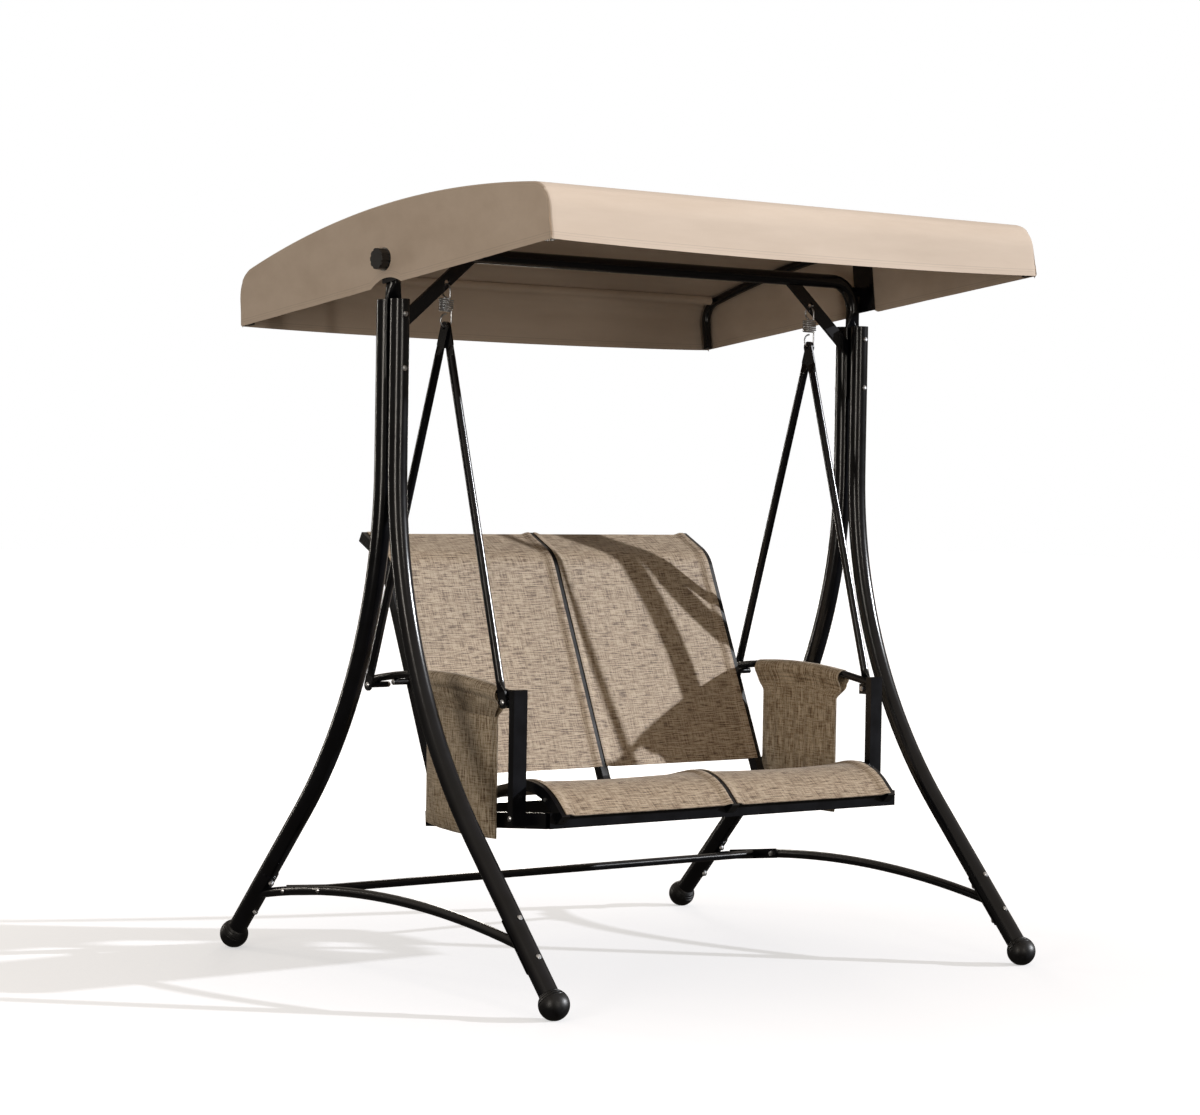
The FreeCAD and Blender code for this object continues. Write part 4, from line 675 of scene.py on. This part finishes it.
weft = add_node(polyester, "ShaderNodeTexWave",
                {"Vector": flat, "Scale": math.pi / 10 / CANOPY_PITCH}, bands_direction="Y")
weave = add_node(polyester, "ShaderNodeMath", {0: warp.outputs["Fac"], 1: weft.outputs["Fac"]},
                 operation="MULTIPLY")
hem = add_node(polyester, "ShaderNodeAttribute", {}, attribute_name="hem").outputs["Fac"]
seam = add_node(polyester, "ShaderNodeAttribute", {}, attribute_name="seam").outputs["Fac"]
lines = []
for distance, source, width in ((0.017, hem, 0.0012), (0.011, hem, 0.0008), (0.006, seam, 0.0014)):
    off = add_node(polyester, "ShaderNodeMath", {0: source, 1: distance}, operation="SUBTRACT")
    off = add_node(polyester, "ShaderNodeMath", {0: off.outputs["Value"]}, operation="ABSOLUTE")
    lines.append(add_node(polyester, "ShaderNodeMapRange",
                          {"Value": off.outputs["Value"], "From Max": width, "To Min": 0.8, "To Max": 1.0}))
stitching = add_node(polyester, "ShaderNodeMath",
                     {0: lines[0].outputs["Result"], 1: lines[1].outputs["Result"]}, operation="MULTIPLY")
stitching = add_node(polyester, "ShaderNodeMath",
                     {0: stitching.outputs["Value"], 1: lines[2].outputs["Result"]}, operation="MULTIPLY")
colour = add_node(polyester, "ShaderNodeMix",
                  {"Factor": 1.0, "A": painted_wrinkle_shade.outputs["Color"], "B": stitching.outputs["Value"]},
                  data_type="RGBA", blend_type="MULTIPLY")
relief = add_node(polyester, "ShaderNodeMath", {0: weave.outputs["Value"], 1: 0.12}, operation="MULTIPLY")
relief = add_node(polyester, "ShaderNodeMath",
                  {0: relief.outputs["Value"], 1: stitching.outputs["Value"]}, operation="ADD")
bump = add_node(polyester, "ShaderNodeBump",
                {"Height": relief.outputs["Value"], "Strength": 0.4, "Distance": 0.001})
gloss = add_node(polyester, "ShaderNodeMapRange",
                 {"Value": wrinkle_band.outputs["Fac"], "To Min": 0.75, "To Max": 0.9})
feed(polyester, skin, Base_Color=colour.outputs["Result"], Roughness=gloss.outputs["Result"],
     Normal=bump.outputs["Normal"])
cover.data.materials.clear()
cover.data.materials.append(polyester)
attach(cover, "canopy")
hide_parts("canopy_cover")

# Each cross bow runs in a sleeve of the same cloth, sewn under the cover, so it shows only as a roll.
SLEEVE_GAP = 0.0012
for end in ("front", "rear"):
    bow = f"canopy_bow_{end}"
    low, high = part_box(bow)
    middle, tube = (low + high) / 2, (high.z - low.z) / 2
    round_run = 2 * math.pi * (tube + SLEEVE_GAP)
    sleeve, shares = cloth_grid(f"bow_sleeve_{end}", 60, 28, 2 * high.x - 0.03, round_run)
    for vertex, (across, along) in zip(sleeve.data.vertices, shares):
        angle = 2 * math.pi * along - CANOPY_TILT
        pinch = 0.0022 * smooth(0.75, 1.0, math.cos(2 * math.pi * along))
        rumple = 0.0005 * noise.noise(Vector((across * 40, along * 3, middle.y)))
        radius = tube + SLEEVE_GAP + pinch + abs(rumple)
        vertex.co = ((across - 0.5) * (2 * high.x - 0.03), middle.y + radius * math.sin(angle),
                     middle.z + radius * math.cos(angle))
    thicken(sleeve, 0.0008)
    sleeve.data.materials.append(polyester)
    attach(sleeve, "canopy")


# ---------------------------------------------------------------- studio
# A pale matt floor in a white room. One sharp lamp stands low on the front right and throws the
# frame's shadow on the slings; two tall soft boxes draw the long highlights on the tubes.

white_floor, skin = new_material("pale_studio_floor", Roughness=0.9, Emission_Strength=0.52)
skin.inputs["Emission Color"].default_value = (1, 1, 1, 1)
# The floor's colour is painted greyer round the swing and fades to near white about 3 m out: painted shade under
# the swing.
place = add_node(white_floor, "ShaderNodeTexCoord", {}).outputs["Object"]
spread = add_node(white_floor, "ShaderNodeVectorMath", {0: place}, operation="LENGTH")
painted_shade_falloff = add_node(white_floor, "ShaderNodeMapRange",
                 {"Value": spread.outputs["Value"], "From Min": 0.6, "From Max": 3.2})
shade = add_node(white_floor, "ShaderNodeValToRGB", {"Fac": painted_shade_falloff.outputs["Result"]})
colour_steps(shade, (0.0, "#BFBFC3"), (0.45, "#D6D6D9"), (1.0, "#FAFAFA"))
feed(white_floor, skin, Base_Color=shade.outputs["Color"])
bpy.ops.object.select_all(action="DESELECT")
bpy.ops.mesh.primitive_plane_add(size=80, location=(0, 0, 0))
floor = bpy.context.object
floor.name = "studio_floor"
floor.data.materials.append(white_floor)
floor.visible_diffuse = False
floor.visible_glossy = False

room = bpy.data.worlds.new("studio_room")
bpy.context.scene.world = room
room.use_nodes = True
walls = room.node_tree.nodes["Background"]
direction = room.node_tree.nodes.new("ShaderNodeTexCoord").outputs["Generated"]
height = room.node_tree.nodes.new("ShaderNodeSeparateXYZ")
light = room.node_tree.nodes.new("ShaderNodeMapRange")
seen = room.node_tree.nodes.new("ShaderNodeLightPath")
pick = room.node_tree.nodes.new("ShaderNodeMix")
light.inputs["From Min"].default_value = -0.1
light.inputs["From Max"].default_value = 0.6
light.inputs["To Min"].default_value = 0.05
light.inputs["To Max"].default_value = 0.42
pick.inputs["B"].default_value = 1.0
room.node_tree.links.new(direction, height.inputs[0])
room.node_tree.links.new(height.outputs["Z"], light.inputs["Value"])
room.node_tree.links.new(light.outputs["Result"], pick.inputs["A"])
room.node_tree.links.new(seen.outputs["Is Camera Ray"], pick.inputs["Factor"])
room.node_tree.links.new(pick.outputs["Result"], walls.inputs["Strength"])
tint = room.node_tree.nodes.new("ShaderNodeMix")
tint.data_type = "RGBA"
tint.inputs["A"].default_value = (1.0, 0.88, 0.75, 1)
tint.inputs["B"].default_value = (1, 1, 1, 1)
room.node_tree.links.new(seen.outputs["Is Camera Ray"], tint.inputs["Factor"])
room.node_tree.links.new(tint.outputs["Result"], walls.inputs["Color"])

sun = bpy.data.lights.new("lamp", "SUN")
sun.energy, sun.color = 3.6, (0.98, 1.0, 1.04)
sun.angle = math.radians(1.2)
lamp = bpy.data.objects.new("lamp", sun)
lamp.rotation_euler = Vector((-0.41, 0.29, -0.17)).to_track_quat("-Z", "Y").to_euler()
bpy.context.scene.collection.objects.link(lamp)

for name, spot, wide, tall, power in (("left_soft_box", (-5.5, -2.2, 1.5), 0.4, 2.6, 62),
                                      ("left_rear_soft_box", (-2.4, 6.0, 1.7), 0.3, 2.4, 40),
                                      ("front_soft_box", (-1.6, -6.5, 1.6), 0.25, 2.8, 45),
                                      ("rear_soft_box", (3.5, 5.0, 1.8), 0.4, 3.0, 40)):
    box = bpy.data.lights.new(name, "AREA")
    box.shape = "RECTANGLE"
    box.size, box.size_y, box.energy, box.color = wide, tall, power, (1.0, 0.93, 0.84)
    stand = bpy.data.objects.new(name, box)
    stand.location = spot
    stand.rotation_euler = (Vector((0, 0, 1.0)) - Vector(spot)).to_track_quat("-Z", "Y").to_euler()
    bpy.context.scene.collection.objects.link(stand)

# The camera stands front left at chest height, far off, with a long lens.
CAMERA_SPOT = Vector((-5.4613, -6.6037, 1.2814))
YAW, PITCH, LEAN = 0.68087, -0.023862, 0.016638
LENS = 95.28

ahead = Vector((math.sin(YAW) * math.cos(PITCH), math.cos(YAW) * math.cos(PITCH), math.sin(PITCH)))
right = Vector((math.cos(YAW), -math.sin(YAW), 0))
above = right.cross(ahead)
leaning_right = right * math.cos(LEAN) + above * math.sin(LEAN)
leaning_up = above * math.cos(LEAN) - right * math.sin(LEAN)
lens = bpy.data.cameras.new("camera")
lens.lens, lens.sensor_width = LENS, 36
camera = bpy.data.objects.new("camera", lens)
turn = Matrix((leaning_right, leaning_up, -ahead)).transposed()
camera.matrix_world = Matrix.Translation(CAMERA_SPOT) @ turn.to_4x4()
bpy.context.scene.collection.objects.link(camera)
bpy.context.scene.camera = camera
bpy.context.scene.view_settings.view_transform = "Standard"
